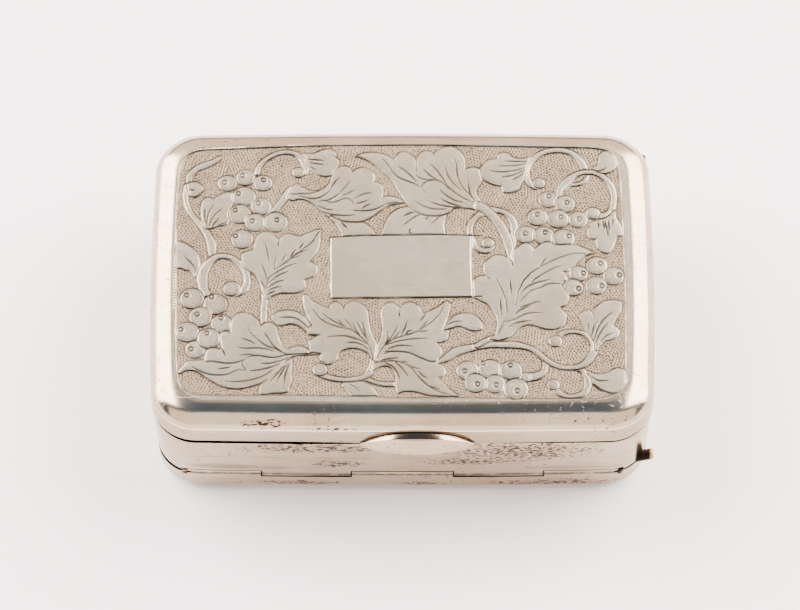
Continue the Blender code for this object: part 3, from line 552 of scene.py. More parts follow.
def pinPath(bend, plugRadius, plugShort, endLift):
    # Stations (x, offset, radius, lift) of a pin: straight through the knuckles, then bent,
    # and thick at its end
    start = hingeHalf + hinge["endGap"]
    turn, end = start + abs(bend), box["width"] / 2 - plugShort
    stations = [(-hingeHalf, 0, hinge["pin"] - 0.05, 0), (-hingeHalf + 0.05, 0, hinge["pin"], 0),
                (start, 0, hinge["pin"], 0)]
    for share in (0.25, 0.5, 0.75, 1.0):
        smooth = share * share * (3 - 2 * share)
        stations.append((start + (turn - start) * share, bend * smooth,
                         hinge["pin"] + (plugRadius - hinge["pin"]) * smooth, 0))
    for share in np.radians((0, 30, 60, 88)):
        stations.append((end - 0.16 * (1 - math.sin(share)), bend, plugRadius - 0.16 * (1 - math.cos(share)),
                         endLift))
    return stations


def pinShape(name, axis, stations):
    turns = np.linspace(0, 2 * math.pi, hinge["sides"], endpoint=False)
    rows = []
    for x, offset, radius, lift in stations:
        rows.append(np.stack([np.full(len(turns), x), axis[1] + offset + radius * np.cos(turns),
                              axis[2] + radius * np.sin(turns) + lift], 1))
    return loft(name, rows, sharpDeg=40.0)


def pinChannel(axis, path):
    # Cutter a little larger than the pin's bent end, out through the side wall
    wide = [(x, offset, radius + hinge["clear"], lift) for x, offset, radius, lift in path[2:-3]]
    return pinShape("channel", axis, wide + [(farX, *wide[-1][1:])])


lidPin = pinPath(hinge["lidBend"], 0.36, 0.4, 0.0)
basePin = pinPath(hinge["baseBend"], 0.47, 0.1, 0.55)
cut(lidShell, hingeSlots(lidAxis, 1, 0, (0, 1)) + [pinChannel(lidAxis, lidPin)], sharpDeg=24.0)
cut(baseShell, hingeSlots(baseAxis, -1, 0, (0, 1)) + [pinChannel(baseAxis, basePin)], sharpDeg=24.0)
cut(band, hingeSlots(lidAxis, 1, 0, (0, 1)) + hingeSlots(baseAxis, -1, 0, (0, 1))
    + [pinChannel(lidAxis, lidPin), pinChannel(baseAxis, basePin)], sharpDeg=24.0)
finish(lidShell, "lid", "silver", silver, "lid_shell")
finish(baseShell, "base_lid", "silver", silver, "base_lid_shell")
finish(band, "case", "silver", silver, "body_band")
print("shells")

# Inner walls, partition and ledge
inner = {"fit": 0.03, "liner": 0.3, "rise": 0.9, "partition": 4.7, "plate": 0.4, "drop": 0.85, "clear": 0.08,
         "stop": 4.2, "sink": 0.55, "grille": 0.35, "ledgeWidth": 0.6, "ledgeHeight": 0.45, "ledgeGap": 0.05}
grilleTop = box["upperSeam"] - inner["sink"]
grilleLow = grilleTop - inner["grille"]
ledgeTop = grilleLow - inner["ledgeGap"]
inside = box["wall"] + inner["fit"]
linerInner = bodyInset(grilleTop) + inside + inner["liner"]
bearer = hinge["radius"] + hinge["bearer"]

partitionTop = inner["partition"] + inner["plate"]
linerTop = box["upperSeam"] + inner["rise"]
liner = sideBand("upperLiner", [(bodyInset(z) + inside, z) for z in
                                (partitionTop + inner["fit"], box["upperSeam"], linerTop)], inner["liner"])
cut(liner, [boxCutter((-farX, lidAxis[1] - bearer, box["upperSeam"] - bearer), (farX, farY, linerTop + 1)),
            boxCutter((-farX, box["depth"] / 2 - inner["stop"], box["upperSeam"]),
                      (farX, farY, linerTop + 1)),
            *hingeSlots(lidAxis, 1, hinge["lidBend"], (2,))])
finish(liner, "case", "silver_gilt", gilt, "upper_liner")
bezelLow = box["lowerSeam"] - inner["drop"]
bezelLevels = [(baseInset(z) + box["wall"] + inner["clear"], z) for z in (bezelLow, box["lowerSeam"])]
bezelLevels.append((bodyInset(inner["partition"]) + inside, inner["partition"] - inner["fit"]))
bezel = sideBand("lowerBezel", bezelLevels, inner["liner"])
cut(bezel, [boxCutter((-farX, -farY, bezelLow - 1), (farX, baseAxis[1] + bearer, box["lowerSeam"] + bearer)),
            boxCutter((-farX, -farY, bezelLow - 1),
                      (farX, inner["stop"] - box["depth"] / 2, box["lowerSeam"])),
            *hingeSlots(baseAxis, -1, hinge["baseBend"], (2,))])
finish(bezel, "case", "silver_gilt", gilt, "lower_bezel")
partition = loft("partitionPlate", [ring(bodyInset(z) + inside, box["corner"] - bodyInset(z) - inside, z)
                                    for z in (inner["partition"], partitionTop)])
finish(partition, "case", "silver_gilt", gilt, "partition_plate")
ledgeOuter = linerInner + inner["fit"] + box["taper"] * (inner["grille"] + inner["ledgeHeight"]) / (
    box["upperSeam"] - box["lowerSeam"])
ledge = sideBand("grilleLedge", [(ledgeOuter, ledgeTop - inner["ledgeHeight"]), (ledgeOuter, ledgeTop)],
                 inner["ledgeWidth"])
small = {"radius": 0.4, "pin": 0.175, "bore": 0.206, "half": 5.0, "middle": 1.8, "gap": 0.06, "clear": 0.05}
grilleAxis = np.array((0, box["depth"] / 2 - linerInner - small["clear"] - small["radius"],
                       grilleTop - inner["grille"] / 2))
reach = small["half"] + small["radius"]
cut(ledge, [boxCutter((-reach, grilleAxis[1] - small["radius"] - inner["ledgeWidth"], ledgeTop - 2),
                      (reach, farY, ledgeTop + 1))])
finish(ledge, "case", "silver_gilt", gilt, "grille_ledge")
print("inner walls")

# Hinges


def tubeRings(low, high, outer, bore, soft=0.04, web=None):
    # Rings of a knuckle about the X axis, with softened ends. A web of (front, up) signs squares off the
    # quarter where the knuckle runs into the wall that owns it
    turns = np.linspace(0, 2 * math.pi, hinge["sides"], endpoint=False)
    radii = np.full(len(turns), outer)
    if web:
        corner = math.atan2(web[1] * hinge["web"], web[0] * outer) % (2 * math.pi)
        turns = np.sort(np.append(turns, corner))
        across, up = np.cos(turns) * web[0], np.sin(turns) * web[1]
        quarter = (across > 1e-6) & (up > -1e-6)
        square = np.minimum(outer / np.maximum(across, 1e-6), hinge["web"] / np.maximum(up, 1e-6))
        radii = np.where(quarter, square, outer)
    holes = np.full(len(turns), bore)
    rows = [(low, radii - soft)]
    rows += [(x, radii) for x in np.linspace(low + soft, high - soft, hinge["stations"] if web else 2)]
    rows += [(high, radii - soft), (high, holes), (low, holes)]
    return [np.stack([np.full(len(turns), x), r * np.cos(turns), r * np.sin(turns)], 1) for x, r in rows]


def knuckleSpans():
    near, far = [hingeHalf * share for share in hinge["shares"]]
    edges = (-hingeHalf, -far, -near, near, far, hingeHalf)
    half = hinge["endGap"] / 2
    return [(low + (half if low > -hingeHalf else 0), high - (half if high < hingeHalf else 0))
            for low, high in zip(edges, edges[1:])]


def knuckleTree():
    # Geometry Nodes: one tube per point, as long as the point says,
    # its outer side dressed flush with the wall
    tree, start = newTree("knuckleRow",
                          {"Points": "Geometry", "Tube": "Object", "Side": "Float", "Reach": "Float",
                           "Bow": "Float", "Corner start": "Float", "Corner bend": "Float",
                           "Material": "Material"}, "Row")
    tube = addNode(tree, "GeometryNodeObjectInfo", {"Object": start["Tube"]})
    span = addNode(tree, "GeometryNodeInputNamedAttribute", {"Name": "span"}, data_type="FLOAT")
    scale = addNode(tree, "ShaderNodeCombineXYZ", {0: span.outputs[0], 1: 1.0, 2: 1.0})
    copies = addNode(tree, "GeometryNodeInstanceOnPoints", {"Points": start["Points"],
                     "Instance": tube.outputs["Geometry"], "Scale": scale.outputs[0]})
    real = addNode(tree, "GeometryNodeRealizeInstances", {0: copies.outputs[0]})
    place = addNode(tree, "GeometryNodeInputPosition").outputs[0]
    x, y, z = addNode(tree, "ShaderNodeSeparateXYZ", {0: place}).outputs
    past = calc(tree, "MAXIMUM", calc(tree, "SUBTRACT", calc(tree, "ABSOLUTE", x), start["Corner start"]),
                0.0)
    wall = calc(tree, "MULTIPLY_ADD", calc(tree, "MULTIPLY", x, x),
                calc(tree, "MULTIPLY", start["Bow"], -1.0),
                start["Reach"])
    bent = calc(tree, "MULTIPLY", calc(tree, "MULTIPLY", past, past), start["Corner bend"])
    kept = calc(tree, "MINIMUM", calc(tree, "MULTIPLY", y, start["Side"]),
                calc(tree, "SUBTRACT", wall, bent))
    flush = addNode(tree, "ShaderNodeCombineXYZ",
                    {0: x, 1: calc(tree, "MULTIPLY", kept, start["Side"]), 2: z})
    dressed = addNode(tree, "GeometryNodeSetPosition",
                      {"Geometry": real.outputs[0], "Position": flush.outputs[0]})
    # How far each point lies behind the wall, kept for the metal's painted shade
    behind = calc(tree, "SUBTRACT", calc(tree, "SUBTRACT", wall, bent), kept)
    marked = addNode(tree, "GeometryNodeStoreNamedAttribute", {
        "Geometry": dressed.outputs[0], "Name": "recess",
        "Value": calc(tree, "DIVIDE", behind, metresPerMm)},
        data_type="FLOAT", domain="POINT")
    done = addNode(tree, "GeometryNodeSetMaterial",
                   {"Geometry": marked.outputs[0], "Material": start["Material"]})
    addNode(tree, "NodeGroupOutput", {0: done.outputs[0]})
    return tree


def growOn(piece, tree, values):
    # Run a Geometry Nodes tree on a piece and keep the result as its plain mesh
    modifier = piece.modifiers.new(tree.name, "NODES")
    modifier.node_group = tree
    for item in tree.interface.items_tree:
        if item.item_type == "SOCKET" and item.in_out == "INPUT" and item.name in values:
            modifier[item.identifier] = values[item.name]
    bake(piece)


knuckleNodes = knuckleTree()


def knuckleRow(name, centres, spans, material, outer, bore, web=None, faceInset=0.0):
    # Row of knuckles, placed by their centres and lengths, and flush with a long wall if they have webs
    tube = loft("unitTube", tubeRings(-0.5, 0.5, outer, bore, 0.005, web))
    mesh = bpy.data.meshes.new(name)
    mesh.from_pydata((np.array(centres) * metresPerMm).tolist(), [], [])
    mesh.attributes.new("span", "FLOAT", "POINT").data.foreach_set("value", spans)
    piece = bpy.data.objects.new(name, mesh)
    scene.collection.objects.link(piece)
    flatX = box["width"] / 2 - faceInset - box["sideBow"]
    cornerStart = flatX - (box["corner"] - faceInset)
    growOn(piece, knuckleNodes, {
        "Tube": tube, "Material": material, "Side": float(web[0]) if web else 1.0,
        "Reach": (box["depth"] / 2 - faceInset if web else box["depth"]) * metresPerMm,
        "Bow": box["frontBow"] / flatX ** 2 / metresPerMm, "Corner start": cornerStart * metresPerMm,
        "Corner bend": 0.5 / (box["corner"] - faceInset) / metresPerMm})
    bpy.data.objects.remove(tube, do_unlink=True)
    shadePiece(piece, 24.0)
    return piece


def flushHinge(axis, faceInset, nodeName, path):
    # Five knuckles, alternately on the lid and on the body, and a pin with a thick end bent inward
    bodyRow, movingRow = [], []
    for index, (low, high) in enumerate(knuckleSpans()):
        (bodyRow if index % 2 else movingRow).append(((axis + ((low + high) / 2, 0, 0)), high - low))
    side = 1 if axis[1] > 0 else -1
    moving = knuckleRow(nodeName + "Knuckles", [c for c, _ in movingRow], [s for _, s in movingRow], silver,
                        hinge["radius"], hinge["bore"], (side, side), faceInset - hinge["proud"])
    fixed = knuckleRow(nodeName + "BodyKnuckles", [c for c, _ in bodyRow], [s for _, s in bodyRow], silver,
                       hinge["radius"], hinge["bore"], (side, -side), faceInset - hinge["proud"])
    pin = pinShape(nodeName + "Pin", axis, path)
    return moving, fixed, pin


moving, fixed, pin = flushHinge(lidAxis, 0, "lidHinge", lidPin)
finish(moving, "lid", "silver", silver, *["lid_hinge_lid_knuckle_%d" % n for n in (1, 2, 3)])
finish(fixed, "case", "silver", silver, *["lid_hinge_body_knuckle_%d" % n for n in (1, 2)])
finish(pin, "case", "pin_brass", brass, "lid_hinge_pin")
moving, fixed, pin = flushHinge(baseAxis, bodyInset(box["lowerSeam"]), "baseHinge", basePin)
finish(moving, "base_lid", "silver", silver, *["base_hinge_base_lid_knuckle_%d" % n for n in (1, 2, 3)])
finish(fixed, "case", "silver", silver, *["base_hinge_body_knuckle_%d" % n for n in (1, 2)])
finish(pin, "case", "pin_brass", brass, "base_hinge_pin")
print("hinges")

# Thumbpiece and lift


def lip(name, centreX, halfWidth, reach, height, inset, side, upwards, seamZ):
    # Lens-shaped lip against a long face, with a rounded ridge
    rise = 1 if upwards else -1
    nearZ = seamZ + rise * (gap + 0.03)
    rings = []
    for along in np.sin(np.linspace(-math.pi / 2, math.pi / 2, 61)):
        x = centreX + halfWidth * along
        bulge = max(1 - along * along, 0) ** 0.75 * 0.94 + 0.06
        back = faceY(x, inset) + 0.03
        front, ridge = back + reach * bulge, back + reach * bulge * 0.52
        farZ = nearZ + rise * height * bulge
        soft = 0.12 * bulge
        fall = (ridge - back) * 0.17
        profile = [(back, nearZ), (front - soft, nearZ), (front, nearZ + rise * soft)]
        for share in np.linspace(0.2, 1.0, 9):
            bow = math.sin(share * math.pi) * 0.06 * reach * bulge
            profile.append((front + (ridge - front) * share + bow,
                            nearZ + rise * (soft + (height * bulge - fall - soft) * share)))
        profile += [(ridge - soft, farZ - rise * (fall - soft * 0.4)), (back + soft * 0.4, farZ),
                    (back, farZ - rise * soft)]
        rings.append(np.array([(x, side * y, z) for y, z in profile]))
    return loft(name, rings, sharpDeg=35.0)


thumb = lip("thumbpiece", 1.25, 4.75, 1.1, 1.9, 0, -1, True, box["upperSeam"])
finish(thumb, "lid", "silver", silver, "lid_thumbpiece")
lift = lip("baseLift", 0, 3.6, 0.8, 1.2, baseInset(box["lowerSeam"]), 1, False, box["lowerSeam"])
finish(lift, "base_lid", "silver", silver, "base_lid_lift")
print("lips")

# Engraved panel
panel = {"relief": 0.04, "bevel": 0.1, "edgeShift": 0.05, "groove": 0.1, "lineWidth": 0.095, "vein": 0.012,
         "veinWidth": 0.11, "hatch": 0.02, "hatchPitch": 0.25, "hatchRow": 0.28, "hatchDark": 1.0,
         "patch": 2.0,
         "grapeDome": 0.015, "stemDome": 0.012, "leafDome": 0.012,
         "grow": {"grape": 0.07, "blob": 0.05, "other": 0.03},
         "pitRing": 0.17, "columns": 340, "cornerColumns": 56, "rows": 250, "depth": 0.2, "seed": 7}

# The photo's own camera, which the render uses too. Distances and places are in metres
view = {"elevation": 59.0, "distance": 0.540, "lens": 292.0, "aim": (-0.0002, -0.002391, 0.010993),
        "sensor": 36.0, "photoSize": (800, 610)}

# Outline of the worked field, the blank cartouche and its cut lines: pixels of the photo's 800 x 610 frame,
# placed over it. Runs of points meet in a sharp corner at each |
fieldEdge = """205,150 250,148.3 300,146.3 330,145.5 400,145 440,145 480,146 545,147 590,148 602,149.5
    609,152 614,156 617,162 619.5,170 620.5,180 624.5,260 625.5,300 626,350 626,380 624,386 620,391
    613,394.5 605,397 597,398.5 560,398.5 500,398 450,397.5 400,397.5 350,396 300,395 260,395 205,395
    195,394 187,391 181,387 178.5,381 177,373 176,350 175.8,300 176,250 176.5,215 177.5,200 178,185
    180,170 184,160 190,154 198,151"""
cartouche = """330,237.2 | 350,236.2 370,235.5 400,235 440,234.7 471.5,235.5 | 471.5,260 473,297 |
    440,297.2 400,297.6 370,297.5 330.5,298.2 | 330,270"""
cartoucheLines = ("330,237.2 370,235.6 440,234.7 482.6,235.6", "330.5,298.2 400,297.6 483.1,296.4",
                  "330,237.2 330,270 330.5,298.2", "471.5,235.6 471.5,260 473,297")

# Vine leaves, stems and grapes, from the lowest layer up, in the same pixels.
# A leaf is its outline, then a vein after each slash.
# A stem is x,y,width along its middle, then its round end after the slash.
# A grape is x,y,radius, then the place of its punched pit.
vine = {
    "archTopRight": """stem 584,168,6.5 581.5,162.5,6 576.5,156.5,5.5 570,152.3,5 562,150.4,5 553,150.4,5
    545,151.8,5 538,155,5 531.5,160.5,5 528,166,4.5 526.6,172,4.5 527.3,178,5 530.5,183.5,6 535.5,186,7 /
    539,183,5.5""",
    "twigTopRight": """stem 563,189,4 570,185,3.5 578,184,3 584,181,3 588,176,2.5""",
    "archRight": """stem 558.5,198,4.5 560,190,5.5 563.5,184.5,6.5 569,179.5,7 575,175,5 582,172.5,4.3
    589,172,4.3 596,173,4.5 603,176.5,5 609,182.5,5 612.5,189.5,5 614,197,5 613.5,204,5 611,210.5,5.5
    606,215,6.5 600,216.5,8 594,214.5,8 / 593,213,6.2""",
    "ribbonTopLeft": """leaf 221,156 212,160 200,164 192,169 188,174 186.5,180 187,184 | 191,181 193,176
    198,171 206,168 214,164 219,160""",
    "stalkLeft": """stem 186.5,186,4.5 185.3,194,4.2 186,202,4 188.5,209,4.2 192.5,215.5,4.5 198,221.5,5
    203.5,228,6 208,236,6.5 211.5,245,7.5 212,254,6""",
    "budLeft": """leaf 187,184.5 191,182.5 196,182 200,184 203,188 201,192 195,196.5 190,195 188.5,192 /
    190,189.5 195,190.5""",
    "leafLeftUpper": """leaf 206,228 203,222 201.5,214 201.3,207 203,201 206,198 209,197.5 212,198.5 |
    214,199 219,195.5 225,193 231,192.5 234,194 | 234,200 231,206 230,214 228,222 224,225 218,226 212,228
    / 205,210 205,216 205.5,223 / 214,205 211,209 208,216 207,226 / 222,209 217,213 212,219 209,227 /
    219,219 214,224 212,229 / 226,222.5 220,225 216,228""",
    "archTopLeft": """stem 257,173,4.5 258.5,168,4.3 262.5,162,4.2 269.5,157,4.2 278,153.3,4.2
    287,152.1,4.2 295,153.5,4.5 300.5,157.3,5 304,162.5,6 305.5,168,6.5 304,172,6 / 298.5,172.3,5.4""",
    "leafTopLeft": """leaf 304,154 312,153.8 318,152 323,150 328,149.3 332,150 335,152.5 336,155.5 |
    334,156.5 337,158 339,160.5 339,163 337,166 | 334.5,170 333.5,174 | 330,175.5 325,176 320,175
    316,172.5 312,169.5 309,166 307,162 306,157 / 308,159.3 318,160 323,160.5 / 310,162.5 318,164
    324,164.5 / 311,167 316,170""",
    "leafLeftEdge": """leaf 176.8,241.5 181.5,242 185.4,243.5 189.2,245.8 193,248.8 197,253.5 198.5,258
    199.6,263.5 198.5,268.8 197,272.7 196,277 | 192.3,272.7 189.2,270.4 185.4,269.6 181.5,268 177.2,267 /
    184.6,256.5 188.5,260.4 192.3,264.2 195.4,269.6 196.5,272""",
    "spiralLeft": """stem 206,293,7 203,287,8 202.3,280,9 203,273,9 206,266.5,8 211,260.5,7
    217.5,256.5,5.5 224,256,5 231,257.3,5 237,261,5.5 242.5,266.5,5.5 246,273,5.5 247.3,280,5.5 246,286,6
    242,290.5,7 237,292.5,8 / 231.5,288.5,7.8""",
    "stalkTopMiddle": """stem 272,213,5 279,205,6 285,197,6 290,190,6 297,187.5,6""",
    "leafTopMiddleLeft": """leaf 296,184 302,187 310,190.5 318,190.5 325,187.5 330,182 333,175 336,169.5
    340,167 345,165.8 349.5,168 351.5,172.5 | 356,169.3 362,167.7 368,169 373,173 374.5,177.5 372.5,182 |
    377,182 381,184.5 383,189 382.3,194 381,198 | 386,196.3 392,196.3 399,198.5 405,202 | 398,203.5
    390,205 383,208.5 376,213.5 369,218 362,221 354,222.7 345,222 337,219.5 | 330,217.5 325,213.5 320,209
    314,204 307,200.2 299,198.7 292,200 288,197 / 331,188.5 335,182 340,177.5 / 340,193 345,187 350,181.5
    / 343,195.5 349,193 355,190 / 354,199 360,195.5 366,193.5 372,193 / 356,203.5 363,202 368,200 /
    362,208.5 366,206 370,204 / 322,200 332,202.5 338,201 343,199 348,198.7 351.5,200.5 354,204.5 /
    318,206 326,209 333,210 / 324,212 332,214.5 345,215.5 355,215 / 353,210.3 362,210.8 372,210 380,207
    386,204 / 386,204 392,203 399,202.3 / 300,196 310,198.5 318,198 325,194.5 331,190 / 320,200.5 328,200
    335,196.5 341,192 / 291,194 300,193.8 310,193.3 320,191""",
    "leafAboveCartoucheLeft": """leaf 330,217 336,223 340,229 343,237 | 375,237 373,230 369,226 364,222.5
    | 355,222.7 345,222 337,219.5 / 341,222 347,228""",
    "leafAboveCartouche": """leaf 383,236 384,228 387,220 392,213 399,208.5 406,207 411,206.5 | 416,211
    424,214.5 434,215.5 441,215 447,213.5 | 445,218 443.5,225 443,236 / 404,216 410,213 416,212 / 411,220
    416,216 422,214 / 404,225 411,219 / 425,220 429,216 / 431,224 437,219 440,216 / 411,229 409,232
    412,233""",
    "leafTopMiddleRight": """leaf 356,156.5 363,153.5 372,152.5 380,153.5 387,155.5 392,159 394.5,161 |
    396.5,156.5 400,152.8 405,152 410,154 414,158.5 416,164 416.6,171 | 417,163 418.5,156.5 422,152
    427,151 431,152.5 433.7,156 | 436,152 441,148.3 448,146.5 454,147 459,150.5 463,156 465,163 465,169 |
    469,168 474,167.3 479,169 482,174 482,180 479,185 476,190 477,195 480.5,200.5 485,205 490,209.5 |
    488,214 485,216 480,211.5 474,209 466,207.8 459,207.5 453,208.5 450,211 447,213 441,215 434,215.5
    424,214.5 416,211 410,206 405,200 401,194 398,190 394,183 388,176 380,168.5 370,161.5 359,156.5 /
    382,158 388,165 393,172 399,177.5 407,181 415,184 421,188 425,193 / 398,166 405,171 411,176 416,181.5
    / 416,175 421,178.5 428,180 436,180 441,182 446,186 452,190.5 459,195.5 466,199.5 474,202 / 423,169
    430,175.5 437,179.5 / 430,164 436,169.5 441,176 447,185 452,190 / 445,166 447,174 452,182 457,187
    461,190 / 455,159 456.5,166 457,174 460,183 465,190 470,195 / 468,182 469,190 471,196 475,201 /
    421,188 423,184 428,181 434,180.5 / 440,190 447,196 454,200 463,202.5 / 441,199 447,202 455,205
    461,206.5 / 430,202 440,205 452,207 459,207 / 415,201 423,206 433,209 447,209""",
    "curlByCartouche": """stem 481,213,5 474,219,5 470.5,225,5 470,232,5 472,240,5 475.5,246.5,5 481,250,5
    487,250.5,5 491.5,247,5 491.5,243,5 / 488,242.5,5.2""",
    "tendrilByCartouche": """stem 488.8,208.8,5 497,210,5 505,212.5,5.2 510.5,217,5.6 513.5,223,6
    514.5,230,6 514,237,6 512.5,244,6 511.5,250,5""",
    "stalkByCartouche": """stem 480,206,9 485,209,9 492,215,8.5 498,222,8 502.5,229,8 506,236,8.5
    508.5,243,8 510,250,6.5 511,258,4.5""",
    "leafTopRight": """leaf 481,168 484,164 488,160.5 493,159 498,158 | 498,156.5 499,154 503,152.5
    508,153.5 511,156 514,158 | 518,158.5 524,158.5 530,157.5 | 527,165 525,172 525,177 523,181 520,186
    518,189.5 514,191.5 508,192.5 503,191.5 | 502,186 | 496,185 490,183 485,180 482,176 481,170 / 490,171
    502,172 515,170.5 524,168 / 500,166 515,165.5 526,163.5 / 505,161 516,161.5 527,161.5 / 502,177
    512,175.5 520,172 525,170 / 512,180 518,177 524,173""",
    "grapesTopLeft": """grapes 245.5,177.5,8.3 242.8,175.5 263,183,8.3 263.5,180 227.5,183.3,8.5
    224.8,182.5 244,196.5,10.5 238.5,193.5 261,206.5,9 258.5,203 239.5,214,10 235.5,210 255.5,222.5,9.5
    252.5,221 276,222,10.5 277,220 242,239,10 235.8,235.8""",
    "grapesTopRight": """grapes 548,199.5,8.3 548.5,196 565,204,9 566.5,202.5 537.5,217,9 537,214.5
    578,219.5,8.5 579,219 558,219,9.5 560.5,217 525.5,234.5,9 525,233.5 544,235.5,9.3 545,232.5
    563.3,238.3,9.8 568.6,236""",
    "grapesRight": """grapes 596.5,265.5,9.5 600,263.5 613.5,276,9.5 619,275 578.5,273.5,8 583,273
    596,285.5,9.3 601.5,286 573,287.5,8.8 578.5,288.5""",
    "leafCornerTopRight": """leaf 593,168 597,165 599,160 600,155 603,151.5 | 607,151.5 612,155 615.5,160
    617,165 | 615,168 611,171 606,173 601,172.5 597,171 / 597,171 602,170 606,167.5""",
    "leafRightEdge": """leaf 614.5,211 616,218 619,224 621.5,229 622,232 621,235 | 616.5,236.5 615.8,240.4
    614.2,245 611.2,249.6 607.3,252.7 603,252 600.4,250.4 598,247.3 596.5,242 596.2,237.7 | 595,238.8
    590.4,238 588,234.2 588,229.6 590,226 592,222 598,220 605,218.5 610,215 / 598,222 598.5,228 / 603,221
    604,229 / 605,221 608,236 / 608.5,221 609,230 / 613,219 612,225""",
    "stalkLeftMiddle": """stem 264.8,292,5.5 264.5,302,5.5 263.7,309,5.5 263.5,325,5""",
    "leafLeftMiddle": """leaf 262.5,291 261.2,285.8 259.2,280.4 255.4,275 251.5,272 247.7,269.6
    244.6,266.5 242.7,262.7 242,258 242.7,254.2 245.4,252 249.2,250.8 252.5,250.2 | 254.6,248 254.6,245
    255.8,240.4 258.5,235 262.3,232.3 267,232 271.5,232.7 274.6,235.8 277.7,239.6 | 279.2,242.7 280.8,238
    283.8,235 287.7,233.5 294,235 300.4,236.5 | 305.8,233.8 310.4,232 315.8,230 320.5,229.2 | 320,238
    319,246 316.5,251.5 312.5,256 309,261 | 311.2,262 314.2,263.5 316.5,266.5 317,270.4 315.8,273.5
    312.7,276.2 308,278 303.5,279.6 | 305.4,283.5 305.8,286.5 303.5,289.2 299.6,291.5 295,292.7
    289.6,292.7 281.5,292.7 276,294.2 270.8,296.5 267.7,298.8 / 266,289 267.7,283.5 268.5,279 271.5,275.8
    276,272.7 280.8,270 285.4,267.3 290.4,265 295.8,263.5 / 276,268.8 280.8,265.8 285.4,262.7 289.6,259.6
    295,257.3 299.6,255.8 / 289.6,259.6 295,255 299.6,252.3 304.2,250.8 308.8,249.2 / 299.6,252 304.2,248
    308.8,245.4 313.5,240.4 316.5,235 319.6,231.2 / 290.4,257.3 292.7,253.5 295.8,249.6 / 299.6,248.8
    301.5,245.8 303.8,243 / 265.4,243.5 267,250.4 268.5,257.3 269.2,263.5 269.6,270.4 / 262,264.2
    263.8,268.8 265.8,274.2 267,278.8 / 276,256.5 275.4,261 274.6,266.5 274.2,270.4 / 286,254.2 283.8,258
    282.3,262 / 269.2,282.7 273.8,278.8 279.2,275 284.6,272.7 288.5,271.5 / 268,288 273,284.2 278.5,281.5
    283.8,280.4 / 268,291 272.3,288.8 277,287.3 281.5,286.5 / 267,295 270.8,292.7 275.4,291 / 261,281
    263.8,285 265.4,288.8 / 278,240 278.5,247""",
    "grapesLeft": """grapes 192,298.5,11 187,295.3 215.5,304,11 211.9,296.6 200.5,317,10.5 197.3,314.2
    221.3,323.5,9.5 221.1,318 187.5,332,10.5 181,329.4 195,349.5,9 191.3,349 208.5,338.3,10.5 207,333""",
    "leafFrontLeftLow": """leaf 178.5,372.5 184,365 188,361.5 195.8,360.5 206,360 222,361 240,358 258,354
    275,354 288,353.5 300,353 311,353 320,354 | 309,354.5 300,355 292,356.5 287,361 279,368 273,375
    266,380 258,384 248,387 238,388.5 230,388 222,386 214,382 207,378 200,373 193,370 186,370.3 /
    192,366.5 200,371 208,374 218,375 227,374.5 234,371.5 240,369.8 246,370.3 / 218,369 225,368 231,367 /
    261,363.5 270,363.3 278,361.5 287,358.5 / 250,371 258,370 268,368 275,365.5 280,364 / 225,381
    235,381.7 248,380.5 258,378 266,374.5 272,370.5 / 243.5,362 242.5,365 245,368.5 246.5,370.5""",
    "leafFrontLeft": """leaf 206,360.5 206,354 208,349.5 213,348 219.4,349 | 222.5,348 221,342 220.5,337.5
    222,333 226,331.5 231,333 | 231,327 232.5,320.5 236.3,314.6 241.4,312.6 249.9,314 256.6,319 260.5,326
    | 265,323.2 270,322.5 274,324.5 276.5,329 278,336 280,342 284,347 288,349.5 | 293,347 297,346
    303,346.7 308,350 311,353 | 300,353.5 287,354 280,356 272,357 265,356 258,355 250,356 244,359.5
    236,362 228,362.8 220,362 212,360.7 / 248,328 251,333 256,338 262,343 268,346.5 275,348.5 281,352
    287,354 / 264,332 268,338 272,344 277,348.5 283,352.5 / 242,338.5 249,340.5 255,344 / 238,347
    244,348.3 258,348 268,349.5 275,351.5 / 222,348 226,356.5 / 240,355.5 247,354.3 253,354.6""",
    "leafletFrontLeft": """leaf 261,393.5 260.5,386 268.4,379.7 274,374 280,368 287,361 291.3,358.5 |
    292,364 291,372 291.5,380 289,387 287,391.5 272,393 / 287,364 281,374 276,384 / 289,364 285,376
    284,386 / 284,366 277,374 270,382""",
    "leafletLeft": """leaf 271.8,316.3 280,311.3 290.5,310.4 298,312.5 304,317 308,323 310.5,331 | 309,333
    303,328 296,324.5 290,323.5 285,324.5 279,325 275,321 / 280,317.5 285,317.3 292,317.5 300,320.5
    306,326 310,329""",
    "leafletFrontMiddle": """leaf 342,384 346,389 351.3,395.5 | 378.3,395.5 374,390 370,385 364,382
    356,381.5 348,382 / 350,384 356,388 359,391""",
    "twigFrontMiddle": """stem 360,378,4 368,379.5,4 376,382.5,4 384,384,4.5 394,384,5""",
    "curlFrontMiddle": """stem 373,355,5 372.5,363,5.5 370.5,370,6 366,375.5,6 358,378.5,5 348,379.5,4.5
    338,379,5 328,377,5.5 320,373.5,5.5 / 320,369.5,6.5""",
    "leafFrontMiddle": """leaf 400,351 410,352.5 420,357 430,361 437,361.5 440,364 444,368 445,373 442,376
    | 437,378 441,381 447,387 453,392 458.7,395.8 | 445,396 429,395 415.7,391.5 405,391 398,393 | 396,388
    396,380 394.5,372 391,367.5 385,365.5 379,367 373,370 | 374,364 380,357 388,352.5 / 376,363 385,361.3
    395,361 405,364 412,369 418,376 426,384 434,389.5 443,393 452,395.5 / 385,363 392,366 397,372 400,379
    / 395,362 401,367 405,372 408,377 / 404,363.5 412,367 420,368.8 / 402,361.5 408,362.3 / 418,371
    423,376 427,378 / 430,386 435,388 440,389.5 / 378,361 388,359 398,358""",
    "hookFrontRight": """stem 541,354,4 544.8,360,5 545.5,366,5 543,372,6 536,376,8 527,377.3,8.5 /
    525,377,4.6""",
